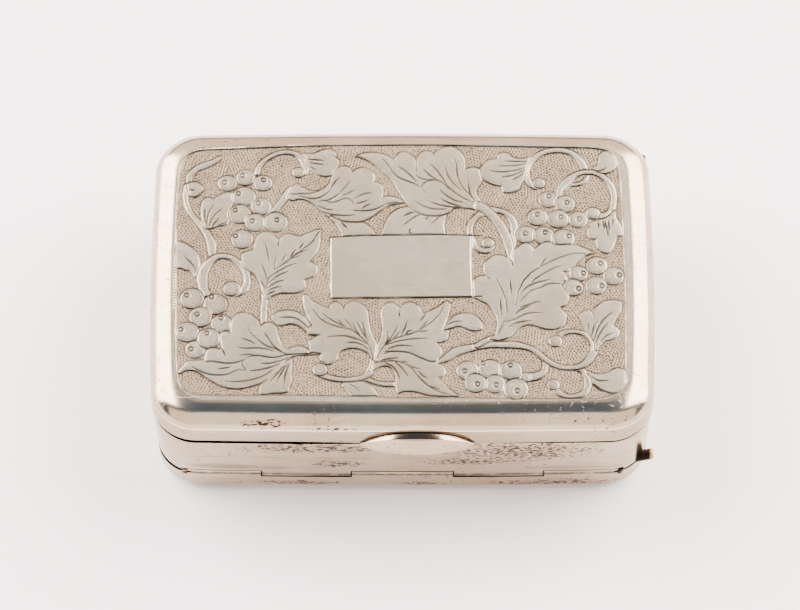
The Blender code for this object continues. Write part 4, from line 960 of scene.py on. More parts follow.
    "hookCornerRight": """stem 575,368,4 582,370,5 586.5,375,6 588,382,6 587,389,6 582,394,5.5 574,396,4
    566,395.7,4.5 559,392.5,6 554.5,388,6 / 553.3,384.5,5.4""",
    "vineFrontRight": """stem 439,362,3 447,357.5,7 455,352,9 463,349.5,8.5 472,347.5,7 480,346,6
    490,344.7,6 502,344.6,6.5 515,344.8,7 525,346.5,5.5 532.8,349.5,5 540,354.5,5 546,359.5,5 553,364,5
    561,367,4.8 569,367.5,4.8 577,367,5 584,364,6 590,358,6.5 594,351,6.5 594,344,6 590,338,5
    584,333.5,4.5 577,331.7,4 570,331.5,4 563,333,5 558,336,6 / 555.5,341,5.8""",
    "twigFrontRight": """stem 477,345.5,5 485,341,5 493,337.5,4 499,334,3""",
    "leafUnderCartoucheLeft": """leaf 304.8,294.5 309.6,298.8 315,302 320.4,305 325.8,307.3 330,308.8 |
    331.2,304.2 334.2,302 338,302.7 341.2,305.8 343.5,310.4 | 345.8,306.5 348.8,302.7 352.7,301.2 358,302
    362.7,305 365.8,308.8 367.3,312 368.5,320 369.5,328 372,335 375,341 377,345.9 376,352 374.9,361 |
    372,358 370,354 365,351 360,349 352,347.8 344,349.5 338.5,353 337,357.5 333,362 328,364 324,362
    320,358 322,353 | 310,352 309.5,347 309,341 | 315,337 | 320,335 309,334 308,328.5 313,325.5 | 312,323
    308,316 305,310 303.5,300.4 / 313,310 318,316 325,322 335,326 345,328.5 352,330 360,336 366,342
    370,348 372,355 374,361 / 323,314 330,319 338,323.5 346,328 / 338,320 343,325 348,329 / 345,320
    350,325 353,330 / 352,323 356,330 360,335 / 357,322 362,332 366,339 / 362,322 365,333 368,342 /
    328,337 337,336 346,336 356,339 364,342 370,347 / 347,343 354,342.5 362,345 368,349 / 310,334.5
    321,335""",
    "leafUnderCartouche": """leaf 381.2,314.2 382,309.6 385,305 388.8,302.7 392.7,302.7 396.5,305.8
    399.6,310.4 | 403,305 407,302.7 411.5,302.3 416,304.2 419.2,307.3 421.5,312 | 425.4,312.7 430.8,310.4
    436,308 440.8,305 444.6,302 446.5,300.7 | 450,304 449.2,312 446,320 443,328 | 449,330 448,336 446,340
    442,341.8 436,342.5 | 441,348 441.5,354 438,358 436.3,361 | 430,361 420,357 410,352.5 400,351 390,351
    385,352 381,356 377.5,361 | 376,361 377,352 378,345 381,338 382.5,330 382,320 / 377,358 380,352
    385,345 392,340 400,337 410,334 418,331 426,326 434,320 440,313 443.5,306 / 416,332 428,331 / 418,331
    424,325 428,320 / 420,321 424,316 426,312 / 401,335 405,328 407,321 / 405,335 409,331 412,330 /
    384,346 388,338 387,332 / 388,342 394,333 397,326 / 391,341 397,335 400,331 / 386,345 395,342 405,340
    415,338.7 428,338.3 / 388,349 396,346 404,345.5 412,346 / 398.5,311 400,318""",
    "leafUnderCartoucheRight": """leaf 444,329 450,321 455,315.5 463,313.2 470,313.5 477,317 481,322
    482.5,329 | 477,330.5 470,329.8 463,327 458,326 452,327.5 446,329.2 / 447,325.5 453,322 462,321""",
    "grapesFront": """grapes 467.5,370.3,10 464.5,371 490,369,10 483.3,362.7 511,370,10 510,365.2
    495,384,9.3 496,385 475.5,383,9.8 477.5,384.2 516,389,11 517,391""",
    "leafRightMiddle": """leaf 513,262 510,260.4 507.7,258 503,255.8 498.5,255 493.8,255.8 489.2,258.8
    485.4,262.7 483.8,267.3 484.6,272 487,275.8 | 480.8,275.8 477,277.3 473.8,280.4 473.3,290 473.8,296.5
    | 477.7,298.8 481.5,300.8 487,303.5 490.8,307.3 493.8,312 496.6,316.2 497.5,322 497.5,328.2 494.9,335
    490,339 | 498.3,340.3 508.7,336.8 515,331 519,328 524,325.6 529,324.5 537,326 545,328.5 553,329
    560,327 564.6,323 566.3,318 565.8,314.6 562,309.6 | 559.6,307.3 561.2,306.5 565,305 568,301.2
    568.5,296.5 566.5,292 563.5,288.8 | 560.4,284.2 | 563.5,280.8 566.5,279.6 566.2,276.5 564.2,273.5 |
    562,271.5 567.3,270.4 570.4,267.7 573.5,265.8 576.5,262.7 579.6,259.6 584.2,255.8 | 593.5,252.5
    588,249.6 582.7,247.3 576.5,245.4 568.8,244.8 561,245.4 | 552,244.2 549.6,242.3 544.2,242.7 539.6,245
    535,248.8 | 533,253.5 | 533.5,249.6 532,247.3 528.8,243.8 524.2,243.5 519.6,245.8 515,249.6 513,255 /
    515.4,305.8 517,298 518,292 521.2,285.8 523.5,281 527.3,276.5 531,272.7 536.5,269.2 541.2,266
    547.3,263 553.5,260 558.8,258 564.2,256 569.6,254.2 575.8,253.5 585.8,253.8 / 545.8,258.5 542.7,262
    539.6,266.5 / 531.2,282.7 536.5,278 543.5,273.5 549.6,270.4 555.8,267.3 561.2,265.8 / 520.4,294.2
    526.5,287.3 534.2,283.5 542,281.2 549.6,279.6 / 538,288.8 542.7,286.5 547.3,284.2 553.5,283.5
    560.4,283.8 / 519.6,302 525.8,295 532,290.4 538,288 / 520.4,307.3 527,305 534.2,302.7 542,300.8 /
    515,314.2 519.6,310.4 525.8,307.3 532,304.2 / 496,279 500,285.8 503,292.7 505.4,298.8 506.5,305.8
    507.3,314.2 / 510,280.4 510.8,289.6 511.5,298 / 500.3,300 500.8,306.5 501.5,314.6 / 505,322 515,319
    522,315.5 530,313 542,312.5 / 508,327 515,323.5 523,321.5 531,320.5 / 487,276 489.6,279.6 / 511.5,260
    513,267 / 497.5,335 502,326 506,317""",
    "leafFrontRight": """leaf 595,344 592,338 586,330 581,321 580,315 583,311.5 587.9,310 592,312 |
    596.5,306.5 604,301.3 613,300 620.6,301.5 621,309 617,317 613,325 | 617,328 619,332 617,336 612,339
    605,341 600,345 596,350 / 596,342 600,333 605,326 608,323 / 594,340 598,328 603,320 612,312 /
    591.5,336 594,326 597,321 / 588,330 588.5,322 / 592.3,312 594,317 / 600,342 606,336 612,333""",
    "leafletCornerRight": """leaf 587,371 592,373 600,374 607,373 612,370 618,368 625,370 | 625.3,383
    622,388 617,392 | 612,393 605,391 598,388 593,383 590.5,377 / 592,377 599,380.5 608,380.5 / 594,384
    600,389 608,392.5""",
}


def onLid(u, v):
    # Place on the flat of the lid, in mm, that the photo shows at a pixel
    tilt = math.radians(view["elevation"])
    focal = view["lens"] / view["sensor"] * view["photoSize"][0]
    right, above = (u - view["photoSize"][0] / 2) / focal, (view["photoSize"][1] / 2 - v) / focal
    aim, far = np.array(view["aim"]) / metresPerMm, view["distance"] / metresPerMm
    eye = aim + far * np.array((0.0, -math.cos(tilt), math.sin(tilt)))
    ray = np.array((right, math.cos(tilt) + above * math.sin(tilt), above * math.cos(tilt) - math.sin(tilt)))
    return (eye + ray * (box["top"] - eye[2]) / ray[2])[:2]


def numbers(words):
    # Points of one run of pixels, in mm to the nearest hundredth. A third value is a width or a radius
    points = []
    for word in words:
        u, v, *sizes = [float(value) for value in word.split(",")]
        place, beside = onLid(u, v), onLid(u + 1, v)
        points.append([*place, *[size * (beside[0] - place[0]) for size in sizes]])
    return np.round(points, 2)


def curve(points, closed=False, step=0.09):
    # Smooth path through points, with tangents as long as each chord
    if len(points) < 2:
        return points
    before, after = np.roll(points, 1, 0), np.roll(points, -1, 0)
    if not closed:
        before[0], after[-1] = points[0], points[-1]
    heading = after - before
    heading /= np.maximum(np.linalg.norm(heading, axis=1), 1e-6)[:, None]
    path = []
    for index in range(len(points) if closed else len(points) - 1):
        follow = (index + 1) % len(points)
        start, end = points[index], points[follow]
        length = math.dist(start[:2], end[:2])
        t = np.linspace(0, 1, max(2, round(length / step)) + 1)[:-1, None]
        path.append((2 * t ** 3 - 3 * t ** 2 + 1) * start + (t ** 3 - 2 * t ** 2 + t) * length
                    * heading[index]
                    + (3 * t ** 2 - 2 * t ** 3) * end + (t ** 3 - t ** 2) * length * heading[follow])
    if not closed:
        path.append(points[-1:])
    return np.concatenate(path)


def outlineOf(words):
    # Closed outline from runs that meet in sharp corners; the last run flows into the first
    runs = [[]]
    for word in words:
        if word == "|":
            runs.append([])
        else:
            runs[-1].append(word)
    if len(runs) == 1:
        return curve(numbers(runs[0]), True)
    runs[0] = runs.pop() + runs[0]
    return np.concatenate([curve(numbers(run)) for run in runs])


def insideBy(outline, x, y):
    # Distance to a closed outline, positive inside
    nearest = np.full(x.shape, np.inf)
    within = np.zeros(x.shape, bool)
    for (x0, y0), (x1, y1) in zip(outline, np.roll(outline, -1, 0)):
        dx, dy = x1 - x0, y1 - y0
        share = np.clip(((x - x0) * dx + (y - y0) * dy) / max(dx * dx + dy * dy, 1e-12), 0, 1)
        nearest = np.minimum(nearest, (x - x0 - share * dx) ** 2 + (y - y0 - share * dy) ** 2)
        if dy:
            within ^= ((y0 > y) != (y1 > y)) & (x < x0 + (y - y0) * dx / dy)
    return np.where(within, 1, -1) * np.sqrt(nearest)


def strokeBy(path, x, y):
    # How far inside a stroke of varying width each place lies, and the stroke's half width there
    deepest = np.full(x.shape, -np.inf)
    halfHere = np.zeros(x.shape)
    for (x0, y0, w0), (x1, y1, w1) in zip(path, path[1:]):
        dx, dy = x1 - x0, y1 - y0
        share = np.clip(((x - x0) * dx + (y - y0) * dy) / max(dx * dx + dy * dy, 1e-12), 0, 1)
        half = (w0 + (w1 - w0) * share) / 2
        depth = half - np.hypot(x - x0 - share * dx, y - y0 - share * dy)
        better = depth > deepest
        deepest[better], halfHere[better] = depth[better], half[better]
    return deepest, halfHere


def near(points, margin):
    # Grid places in the box round some points
    low, high = points[:, :2].min(0) - margin, points[:, :2].max(0) + margin
    return np.nonzero((gridX > low[0]) & (gridX < high[0]) & (gridY > low[1]) & (gridY < high[1]))[0]


def raiseForm(picks, d, top):
    # Lay one form over what is there: a bevelled edge, and a cut line round it
    smooth = np.clip((d + panel["edgeShift"]) / panel["bevel"], 0, 1)
    smooth = smooth * smooth * (3 - 2 * smooth)
    body = d > -panel["edgeShift"]
    level[picks[body]] = (-panel["relief"] * 1.3 * (1 - smooth) + top * smooth)[body]
    ground[picks[body]] = 0
    grimeAndShade[picks[body]] = 0
    around = ~body & (d > -panel["groove"])
    slope = -panel["relief"] * 1.3 * (1 - np.clip(-d[around] / panel["groove"], 0, 1) ** 2)
    level[picks[around]] = np.minimum(level[picks[around]], slope)
    # The cut line round each form is painted dark: tarnish, and painted shade over the bevel's slope
    line = np.exp(-((d + 0.02) / panel["lineWidth"]) ** 2)
    grimeAndShade[picks] = np.maximum(grimeAndShade[picks], np.clip(line * 1.5 - 0.15, 0, 1))


def cutLine(words, width, depth):
    # Graver line that swells in its middle
    path = curve(numbers(words))
    share = np.linspace(0, 1, len(path))
    swell = width * (0.45 + 0.55 * np.sin(math.pi * np.clip(share * 0.9 + 0.08, 0, 1)))
    picks = near(path, width)
    d, half = strokeBy(np.column_stack([path, swell]), gridX[picks], gridY[picks])
    profile = np.clip(d / np.maximum(half, 1e-6), 0, 1)
    level[picks] -= depth * profile
    # Painted dark along the cut: tarnish and painted shade
    grimeAndShade[picks] = np.maximum(grimeAndShade[picks], np.clip(profile * 2.4, 0, 1))


def punchRing(x, y):
    # Ring punch that leaves a raised middle
    centre = np.array([[x, y]])
    picks = near(centre, 0.5)
    r = np.hypot(gridX[picks] - x, gridY[picks] - y)
    band = np.exp(-((r - panel["pitRing"]) / 0.1) ** 2)
    level[picks] += -0.02 * band
    # The ring is painted dark: tarnish and painted shade in the punched groove
    grimeAndShade[picks] = np.maximum(grimeAndShade[picks], np.clip(band * 1.3, 0, 1))


def raiseBall(kind, x, y, radius):
    # A grape, or the round end of a stem, with a fine second line inside its edge
    radius += panel["grow"][kind]
    picks = near(np.array([[x, y]]), radius + 0.3)
    d = radius - np.hypot(gridX[picks] - x, gridY[picks] - y)
    raiseForm(picks, d, -panel["grapeDome"] * np.clip(1 - d / radius, 0, 1) ** 3)
    onLine = np.abs(d - 0.2) < 0.15
    innerLine = np.exp(-((d[onLine] - 0.2) / 0.05) ** 2)
    grimeAndShade[picks[onLine]] = np.maximum(grimeAndShade[picks[onLine]], 0.4 * innerLine)


def drawVine():
    # Lay each form in turn over those before it
    for form in vine.values():
        kind, *words = form.split()
        parts = [part.split() for part in " ".join(words).split("/")]
        if kind == "leaf":
            outline = outlineOf(parts[0])
            picks = near(outline, 0.3)
            d = insideBy(outline, gridX[picks], gridY[picks]) + panel["grow"]["other"]
            raiseForm(picks, d, -panel["leafDome"] * np.exp(-np.abs(d) / 0.3))
            for vein in parts[1:]:
                cutLine(vein, panel["veinWidth"] * 2, panel["vein"])
        elif kind == "stem":
            path = curve(numbers(parts[0]))
            picks = near(path, 0.7)
            d, half = strokeBy(path, gridX[picks], gridY[picks])
            d, half = d + panel["grow"]["other"], half + panel["grow"]["other"]
            raiseForm(picks, d, -panel["stemDome"] * np.clip(1 - d / np.maximum(half, 0.01), 0, 1) ** 2)
            for roundEnd in parts[1:]:
                raiseBall("blob", *numbers(roundEnd)[0])
        else:
            for grape, pit in zip(words[::2], words[1::2]):
                raiseBall("grape", *numbers([grape])[0])
                punchRing(*numbers([pit])[0])


def hatching(x, y):
    # Rows of short punched strokes, whose direction changes patch by patch
    random = np.random.default_rng(panel["seed"])
    count = round(4 * 19 * 12 / panel["patch"] ** 2)
    seeds = random.uniform((-19, -12), (19, 12), (count, 2))
    angles = random.uniform(-0.6, 0.6, count) + random.choice((0, math.pi / 2, 0.9), count)
    nearest = np.full(x.shape, np.inf)
    turn = np.zeros(x.shape)
    for (seedX, seedY), angle in zip(seeds, angles):
        away = np.hypot(x - seedX, y - seedY)
        closer = away < nearest
        nearest[closer], turn[closer] = away[closer], angle
    u = (x * np.cos(turn) + y * np.sin(turn)) / panel["hatchPitch"]
    v = (-x * np.sin(turn) + y * np.cos(turn)) / panel["hatchRow"]
    v = v + 0.5 * (np.floor(u) % 2)
    chance = np.abs(np.sin(np.floor(u) * 12.9898 + np.floor(v) * 78.233 + turn * 31.7) * 43758.5453) % 1
    dot = np.sin(math.pi * (u % 1)) ** 2 * np.sin(math.pi * (v % 1)) ** 1.2
    return dot * (0.55 + 0.6 * chance)


reachX = box["width"] / 2 - box["lidRound"] * math.sin(math.radians(box["lidSweep"])) - box["sideBow"]
reachY = reachX - box["width"] / 2 + box["depth"] / 2 + box["sideBow"] - box["frontBow"]
flatCorner = box["corner"] - box["lidRound"] * math.sin(math.radians(box["lidSweep"])) / 2
columns, cornerColumns, rows = panel["columns"], panel["cornerColumns"], panel["rows"]
bend = np.radians(np.linspace(0, 90, cornerColumns + 1))[1:]
across = np.concatenate([np.linspace(0, reachX - flatCorner, columns + 1),
                         reachX - flatCorner + flatCorner * np.sin(bend)])
span = np.concatenate([np.full(columns + 1, reachY), reachY - flatCorner + flatCorner * np.cos(bend)])
across = np.concatenate([-across[:0:-1], across])
span = np.concatenate([span[:0:-1], span])
flatGrid = np.stack([np.repeat(across, 2 * rows + 1),
                     np.outer(span, np.linspace(-1, 1, 2 * rows + 1)).ravel()], 1)
grid = bowed(flatGrid, reachX, reachY)
gridX, gridY = grid[:, 0], grid[:, 1]

edge = curve(numbers(fieldEdge.split()), True)
d = insideBy(edge, gridX, gridY)
level = -panel["relief"] * np.clip((d + panel["edgeShift"]) / panel["bevel"], 0, 1)
ground = np.clip(d / panel["bevel"], 0, 1)
# The border's cut line, painted dark: tarnish and painted shade
grimeAndShade = np.exp(-(d / panel["lineWidth"]) ** 2)
drawVine()
frameOutline = outlineOf(cartouche.split())
picks = near(frameOutline, 0.3)
raiseForm(picks, insideBy(frameOutline, gridX[picks], gridY[picks]), 0.0)
for line in cartoucheLines:
    cutLine(line.split(), 0.2, 0.05)
clear = np.clip(d / 0.05, 0, 1)
outsideField = d < 0.0
level[outsideField & (d < -0.1)] = 0.0
grimeAndShade[outsideField & (d < -0.15)] = 0.0
ground *= clear
dots = ground * hatching(gridX, gridY)
level -= panel["hatch"] * dots
for start, end in ((0.0, 0.03), (0.06, 0.13), (0.86, 1.0)):
    # pricked dots just outside the border, at its back corners
    outward = np.roll(edge, -1, 0) - np.roll(edge, 1, 0)
    outward = np.stack([outward[:, 1], -outward[:, 0]], 1) / np.linalg.norm(outward, axis=1)[:, None]
    side = -1 if insideBy(edge, *(edge[:1] + outward[:1] * 0.1).T)[0] > 0 else 1
    for place in (edge + outward * side * 0.15)[int(start * len(edge)):int(end * len(edge)):3]:
        picks = near(place[None], 0.2)
        spot = np.exp(-(np.hypot(gridX[picks] - place[0], gridY[picks] - place[1]) / 0.07) ** 2)
        level[picks] -= 0.03 * spot
        # each dot painted dark: tarnish and painted shade
        grimeAndShade[picks] = np.maximum(grimeAndShade[picks], 0.7 * spot)
# The punched dots are painted dark: tarnish and painted shade in each one
grimeAndShade = np.maximum(grimeAndShade, panel["hatchDark"] * np.clip(dots * 2.8 - 0.5, 0, 1))
shapeXYZ = np.column_stack([gridX, gridY, box["top"] + level]).reshape(len(across), 2 * rows + 1, 3)
slopeU, slopeV = np.gradient(shapeXYZ, axis=0), np.gradient(shapeXYZ, axis=1)
gridNormal = np.cross(slopeU, slopeV)
gridNormal /= np.linalg.norm(gridNormal, axis=2)[:, :, None]
masks = {"ground": ground.reshape(shapeXYZ.shape[:2]), "grimeAndShade": grimeAndShade.reshape(shapeXYZ.shape[:2])}


def engravedPlate(name, firstColumn, lastColumn, firstRow, lastRow, material):
    # One quarter of the panel as a closed solid whose edges meet its neighbours'
    part = (slice(firstColumn, lastColumn + 1), slice(firstRow, lastRow + 1))
    top = shapeXYZ[part].reshape(-1, 3)
    wide, deep = lastColumn - firstColumn + 1, lastRow - firstRow + 1
    index = np.arange(wide * deep).reshape(wide, deep)
    cells = np.stack([index[:-1, :-1], index[1:, :-1], index[1:, 1:], index[:-1, 1:]], 2).reshape(-1, 4)
    rim = np.concatenate([index[:-1, 0], index[-1, :-1], index[:0:-1, -1], index[0, :0:-1]])
    low = top[rim].copy()
    low[:, 2] = box["top"] - panel["depth"]
    under = np.arange(len(rim)) + len(top)
    walls = np.stack([under, np.roll(under, -1), np.roll(rim, -1), rim], 1)
    mesh = bpy.data.meshes.new(name)
    mesh.from_pydata((np.concatenate([top, low]) * metresPerMm).tolist(), [],
                     cells.tolist() + walls.tolist() + [under[::-1].tolist()])
    for key, values in masks.items():
        flat = np.concatenate([values[part].ravel(), np.zeros(len(rim))]).astype(np.float32)
        mesh.attributes.new(key, "FLOAT", "POINT").data.foreach_set("value", flat)
    piece = addObject(name, mesh)
    outward = np.cross(np.roll(low, -1, 0) - low, (0, 0, 1))
    outward /= np.linalg.norm(outward, axis=1)[:, None]
    normals = np.concatenate([gridNormal[part].reshape(-1, 3)[cells.ravel()], np.repeat(outward, 4, 0),
                              np.tile((0, 0, -1.0), (len(rim), 1))])
    mesh.normals_split_custom_set(normals.tolist())
    return finish(piece, "lid", "silver", material)


middleColumn = len(across) // 2
for name, columnsHere, rowsHere in (("panelFrontLeft", (0, middleColumn), (0, rows)),
                                    ("panelFrontRight", (middleColumn, len(across) - 1), (0, rows)),
                                    ("panelBackLeft", (0, middleColumn), (rows, 2 * rows)),
                                    ("panelBackRight", (middleColumn, len(across) - 1), (rows, 2 * rows))):
    engravedPlate(name, *columnsHere, *rowsHere, engraved)
print("engraved panel")

# Grille
grille = {"clear": 0.12, "border": 1.1, "web": 0.3, "backGap": 0.1, "backCorner": 4.0, "bevel": 0.035,
          "petals": 6, "petalStart": 1.2, "petal": (2.2, 1.2), "scroll": 4.1, "scrollEnd": 1.1,
          "slot": (0.75, 0.4),
          "turnDeg": 430.0, "tighten": 0.8, "places": ((0.41, 0.46, 1.0), (0.81, 0.50, 0.66)),
          "leaf": (1.4, 0.8),
          "leafGap": 0.5, "leaves": 12, "hole": 0.45, "pitch": 1.9, "bead": 0.13, "beadPitch": 0.42}
halfWidth = box["width"] / 2 - linerInner - grille["clear"]
frontY = box["depth"] / 2 - linerInner - grille["clear"]
backY = grilleAxis[1] - small["radius"] - grille["backGap"]
halfDepth, middleY = (frontY + backY) / 2, (backY - frontY) / 2
plateCorner = box["corner"] - linerInner


def leafHole(centre, start, length, width, turn, steps):
    # Leaf-shaped hole that points away from a centre
    around = np.linspace(0, 2 * math.pi, steps, endpoint=False)
    along = start + length * (1 + np.cos(around)) / 2
    across = width * np.sin(around) * (1 + np.sin(around / 2)) / 4
    return np.stack([centre[0] + along * math.cos(turn) - across * math.sin(turn),
                     centre[1] + along * math.sin(turn) + across * math.cos(turn)], 1)


def roundHole(centre, radius, steps=20):
    turns = np.linspace(0, 2 * math.pi, steps, endpoint=False)
    return np.stack([centre[0] + radius * np.cos(turns), centre[1] + radius * np.sin(turns)], 1)


def scrollHole(centre, radius, sideX, sideY, scale):
    # Tapering slot along a spiral, with rounded ends
    share = np.linspace(0, 1, round(84 * scale) + 1)
    turn = math.pi - math.radians(grille["turnDeg"]) * share
    reach = radius + (grille["scrollEnd"] * scale - radius) * share ** grille["tighten"]
    half = (grille["slot"][0] + (grille["slot"][1] - grille["slot"][0]) * share) * scale / 2
    near0, far0 = np.clip(share / 0.035, 0, 1), np.clip((1 - share) / 0.05, 0, 1)
    half = half * np.sqrt(1 - (1 - np.minimum(near0, far0)) ** 2 * 0.85)
    rows = [np.stack([centre[0] + sideX * r * np.cos(turn), centre[1] + sideY * r * np.sin(turn)], 1)
            for r in (reach + half, reach - half)]
    return np.concatenate([rows[0], rows[1][::-1]])


def spread(first, second):
    # Least distance from the corners of one outline to the sides of another
    start, step = second[None], (np.roll(second, -1, 0) - second)[None]
    share = np.clip(((first[:, None] - start) * step).sum(2) / np.maximum((step ** 2).sum(2), 1e-12), 0, 1)
    return np.linalg.norm(first[:, None] - start - step * share[:, :, None], axis=2).min()


def grilleHoles():
    # Rosette, four pairs of scrolls with leaves round them, and round holes where there is room
    middle = np.array((0, middleY))
    holes = [roundHole(middle, grille["petalStart"] / 2)]
    for index in range(grille["petals"]):
        holes.append(leafHole(middle, grille["petalStart"], *grille["petal"],
                              2 * math.pi * (index + 0.5) / grille["petals"], 28))
    leaves = []
    for shareX, shareY, scale in grille["places"]:
        for sideX, sideY in ((-1, -1), (-1, 1), (1, -1), (1, 1)):
            centre = np.array((sideX * halfWidth * shareX, middleY + sideY * halfDepth * shareY))
            radius = grille["scroll"] * scale
            holes.append(scrollHole(centre, radius, sideX, sideY, scale))
            start = radius + grille["slot"][0] * scale / 2 + grille["leafGap"]
            for index in range(grille["leaves"]):
                leaf = leafHole(centre, start, *grille["leaf"], 2 * math.pi * index / grille["leaves"], 18)
                leaves.append(centre + (leaf - centre) * (sideX, sideY))
    holes += leaves
    columns, rows = int(halfWidth / grille["pitch"]), int(halfDepth / grille["pitch"])
    for row in range(-rows, rows + 1):
        for column in range(-columns - row % 2, columns + 1):
            holes.append(roundHole((grille["pitch"] * (column + row % 2 / 2),
                                    middleY + grille["pitch"] * row),
                                   grille["hole"]))
    insetX = halfWidth - box["sideBow"] - grille["border"]
    insetY = halfDepth - box["frontBow"] - grille["border"]
    corner = max(plateCorner, grille["border"])
    kept = []
    for hole in holes:
        beyond = np.maximum(np.abs(hole - (0, middleY)) - (insetX - corner, insetY - corner), 0)
        if np.linalg.norm(beyond, axis=1).max() > corner:
            continue
        close = [other for other in kept if math.dist(other.mean(0), hole.mean(0)) < 3 * grille["scroll"]]
        if all(spread(hole, other) > grille["web"] and spread(other, hole) > grille["web"]
               for other in close):
            kept.append(hole)
    return kept


def piercedTree():
    # Geometry Nodes: fill the plate's outline less its holes, and give it a thickness
    tree, start = newTree("piercing", {"Outlines": "Geometry", "Thickness": "Float", "Unit": "Float",
                                       "Level": "Float", "Material": "Material"}, "Plate")
    lines = addNode(tree, "GeometryNodeMeshToCurve", {0: start["Outlines"]})
    flat = addNode(tree, "GeometryNodeFillCurve", {0: lines.outputs[0]})
    drop = addNode(tree, "ShaderNodeCombineXYZ", {2: calc(tree, "MULTIPLY", start["Thickness"], -1.0)})
    thick = addNode(tree, "GeometryNodeExtrudeMesh", {"Mesh": flat.outputs[0], "Offset": drop.outputs[0],
                                                      "Offset Scale": 1.0, "Individual": False})
    lid = addNode(tree, "GeometryNodeFlipFaces", {0: flat.outputs[0]})
    whole = addNode(tree, "GeometryNodeJoinGeometry")
    tree.links.new(thick.outputs[0], whole.inputs[0])
    tree.links.new(lid.outputs[0], whole.inputs[0])
    welded = addNode(tree, "GeometryNodeMergeByDistance", {"Geometry": whole.outputs[0], "Distance": 0.0005})
    size = addNode(tree, "ShaderNodeCombineXYZ", {0: start["Unit"], 1: start["Unit"], 2: start["Unit"]})
    raised = addNode(tree, "ShaderNodeCombineXYZ", {2: start["Level"]})
    real = addNode(tree, "GeometryNodeTransform", {"Geometry": welded.outputs[0], "Scale": size.outputs[0],
                                                   "Translation": raised.outputs[0]})
    plain = addNode(tree, "GeometryNodeRealizeInstances", {0: real.outputs[0]})
    done = addNode(tree, "GeometryNodeSetMaterial",
                   {"Geometry": plain.outputs[0], "Material": start["Material"]})
    addNode(tree, "NodeGroupOutput", {0: done.outputs[0]})
    return tree


def beadTree():
    # Geometry Nodes: half-sunk beads at a pitch along a closed line
    tree, start = newTree("beading", {"Line": "Geometry", "Pitch": "Float", "Bead": "Float",
                                      "Material": "Material"}, "Beads")
    lines = addNode(tree, "GeometryNodeMeshToCurve", {0: start["Line"]})
    stops = addNode(tree, "GeometryNodeResampleCurve", {"Curve": lines.outputs[0], "Length": start["Pitch"]},
                    mode="LENGTH")
    ball = addNode(tree, "GeometryNodeMeshUVSphere", {"Segments": 10, "Rings": 6, "Radius": start["Bead"]})
    copies = addNode(tree, "GeometryNodeInstanceOnPoints",
                     {"Points": stops.outputs[0], "Instance": ball.outputs[0]})
    real = addNode(tree, "GeometryNodeRealizeInstances", {0: copies.outputs[0]})
    done = addNode(tree, "GeometryNodeSetMaterial",
                   {"Geometry": real.outputs[0], "Material": start["Material"]})
    addNode(tree, "NodeGroupOutput", {0: done.outputs[0]})
    return tree


def loops(name, outlines, z, unit=1.0):
    # Mesh of closed edge loops at one level
    points, edges = [], []
    for outline in outlines:
        first = len(points)
        points += [(x * unit, y * unit, z * unit) for x, y in outline]
        edges += [(first + index, first + (index + 1) % len(outline)) for index in range(len(outline))]
    mesh = bpy.data.meshes.new(name)
    mesh.from_pydata(points, edges, [])
    piece = bpy.data.objects.new(name, mesh)
    scene.collection.objects.link(piece)
    return piece


platePlan = roundedPlan(halfWidth, halfDepth, plateCorner, middleY, grille["backCorner"])
plate = loops("grillePlate", [platePlan, *grilleHoles()], 0.0)
growOn(plate, piercedTree(), {"Thickness": inner["grille"], "Unit": metresPerMm,
                              "Level": grilleTop * metresPerMm,
                               "Material": gilt})
edgeWear = plate.modifiers.new("edgeWear", "BEVEL")
edgeWear.width, edgeWear.segments, edgeWear.limit_method = grille["bevel"] * metresPerMm, 2, "ANGLE"
edgeWear.angle_limit = math.radians(50)
bake(plate)
shadePiece(plate, 35.0)
finish(plate, "grille", "silver_gilt", gilt, "grille_plate")
beadInset = grille["border"] * 0.55
beadPlan = roundedPlan(halfWidth - beadInset, halfDepth - beadInset, plateCorner - beadInset, middleY,
                       grille["backCorner"] - beadInset)
beads = loops("grilleBeads", [beadPlan], grilleTop, metresPerMm)
growOn(beads, beadTree(), {"Pitch": grille["beadPitch"] * metresPerMm, "Bead": grille["bead"] * metresPerMm,
                           "Material": gilt})
shadePiece(beads)
finish(beads, "grille", "silver_gilt", gilt)

# Lift tab: a half-round ridge, and the grille's own small hinge
tab = {"half": 2.2, "depth": 0.7, "height": 0.4, "tip": 0.06, "gap": 0.03}
tabY = middleY - halfDepth + grille["border"] / 2
rings = []
for along in np.sin(np.linspace(-math.pi / 2, math.pi / 2, 33)):
    bulge = math.sqrt(max(1 - along * along, 0)) * (1 - tab["tip"]) + tab["tip"]
    turns = np.linspace(0, math.pi, 13)
    wide, high = tab["depth"] / 2 * bulge, tab["height"] * bulge
    rings.append(np.column_stack([np.full(len(turns), tab["half"] * along), tabY + wide * np.cos(turns),
                                  grilleTop + tab["gap"] + high * np.sin(turns) ** 0.8]))
finish(loft("grilleLiftTab", rings, sharpDeg=45.0), "grille", "silver_gilt", gilt, "grille_lift_tab")
outerStart = small["middle"] + small["gap"]
outerMiddle, outerSpan = (outerStart + small["half"]) / 2, small["half"] - outerStart
linerKnuckles = knuckleRow("grilleLinerKnuckles",
                           [grilleAxis + (side * outerMiddle, 0, 0) for side in (-1, 1)],
                           [outerSpan] * 2, gilt, small["radius"], small["bore"])
finish(linerKnuckles, "case", "silver_gilt", gilt, "grille_hinge_liner_knuckle_1",
       "grille_hinge_liner_knuckle_2")
finish(knuckleRow("grilleKnuckle", [grilleAxis], [2 * small["middle"]], gilt, small["radius"],
                  small["bore"]),
       "grille", "silver_gilt", gilt, "grille_hinge_knuckle")
ends = [(-small["half"], 0, small["pin"] - 0.03, 0), (-small["half"] + 0.03, 0, small["pin"], 0),
        (small["half"] - 0.03, 0, small["pin"], 0), (small["half"], 0, small["pin"] - 0.03, 0)]
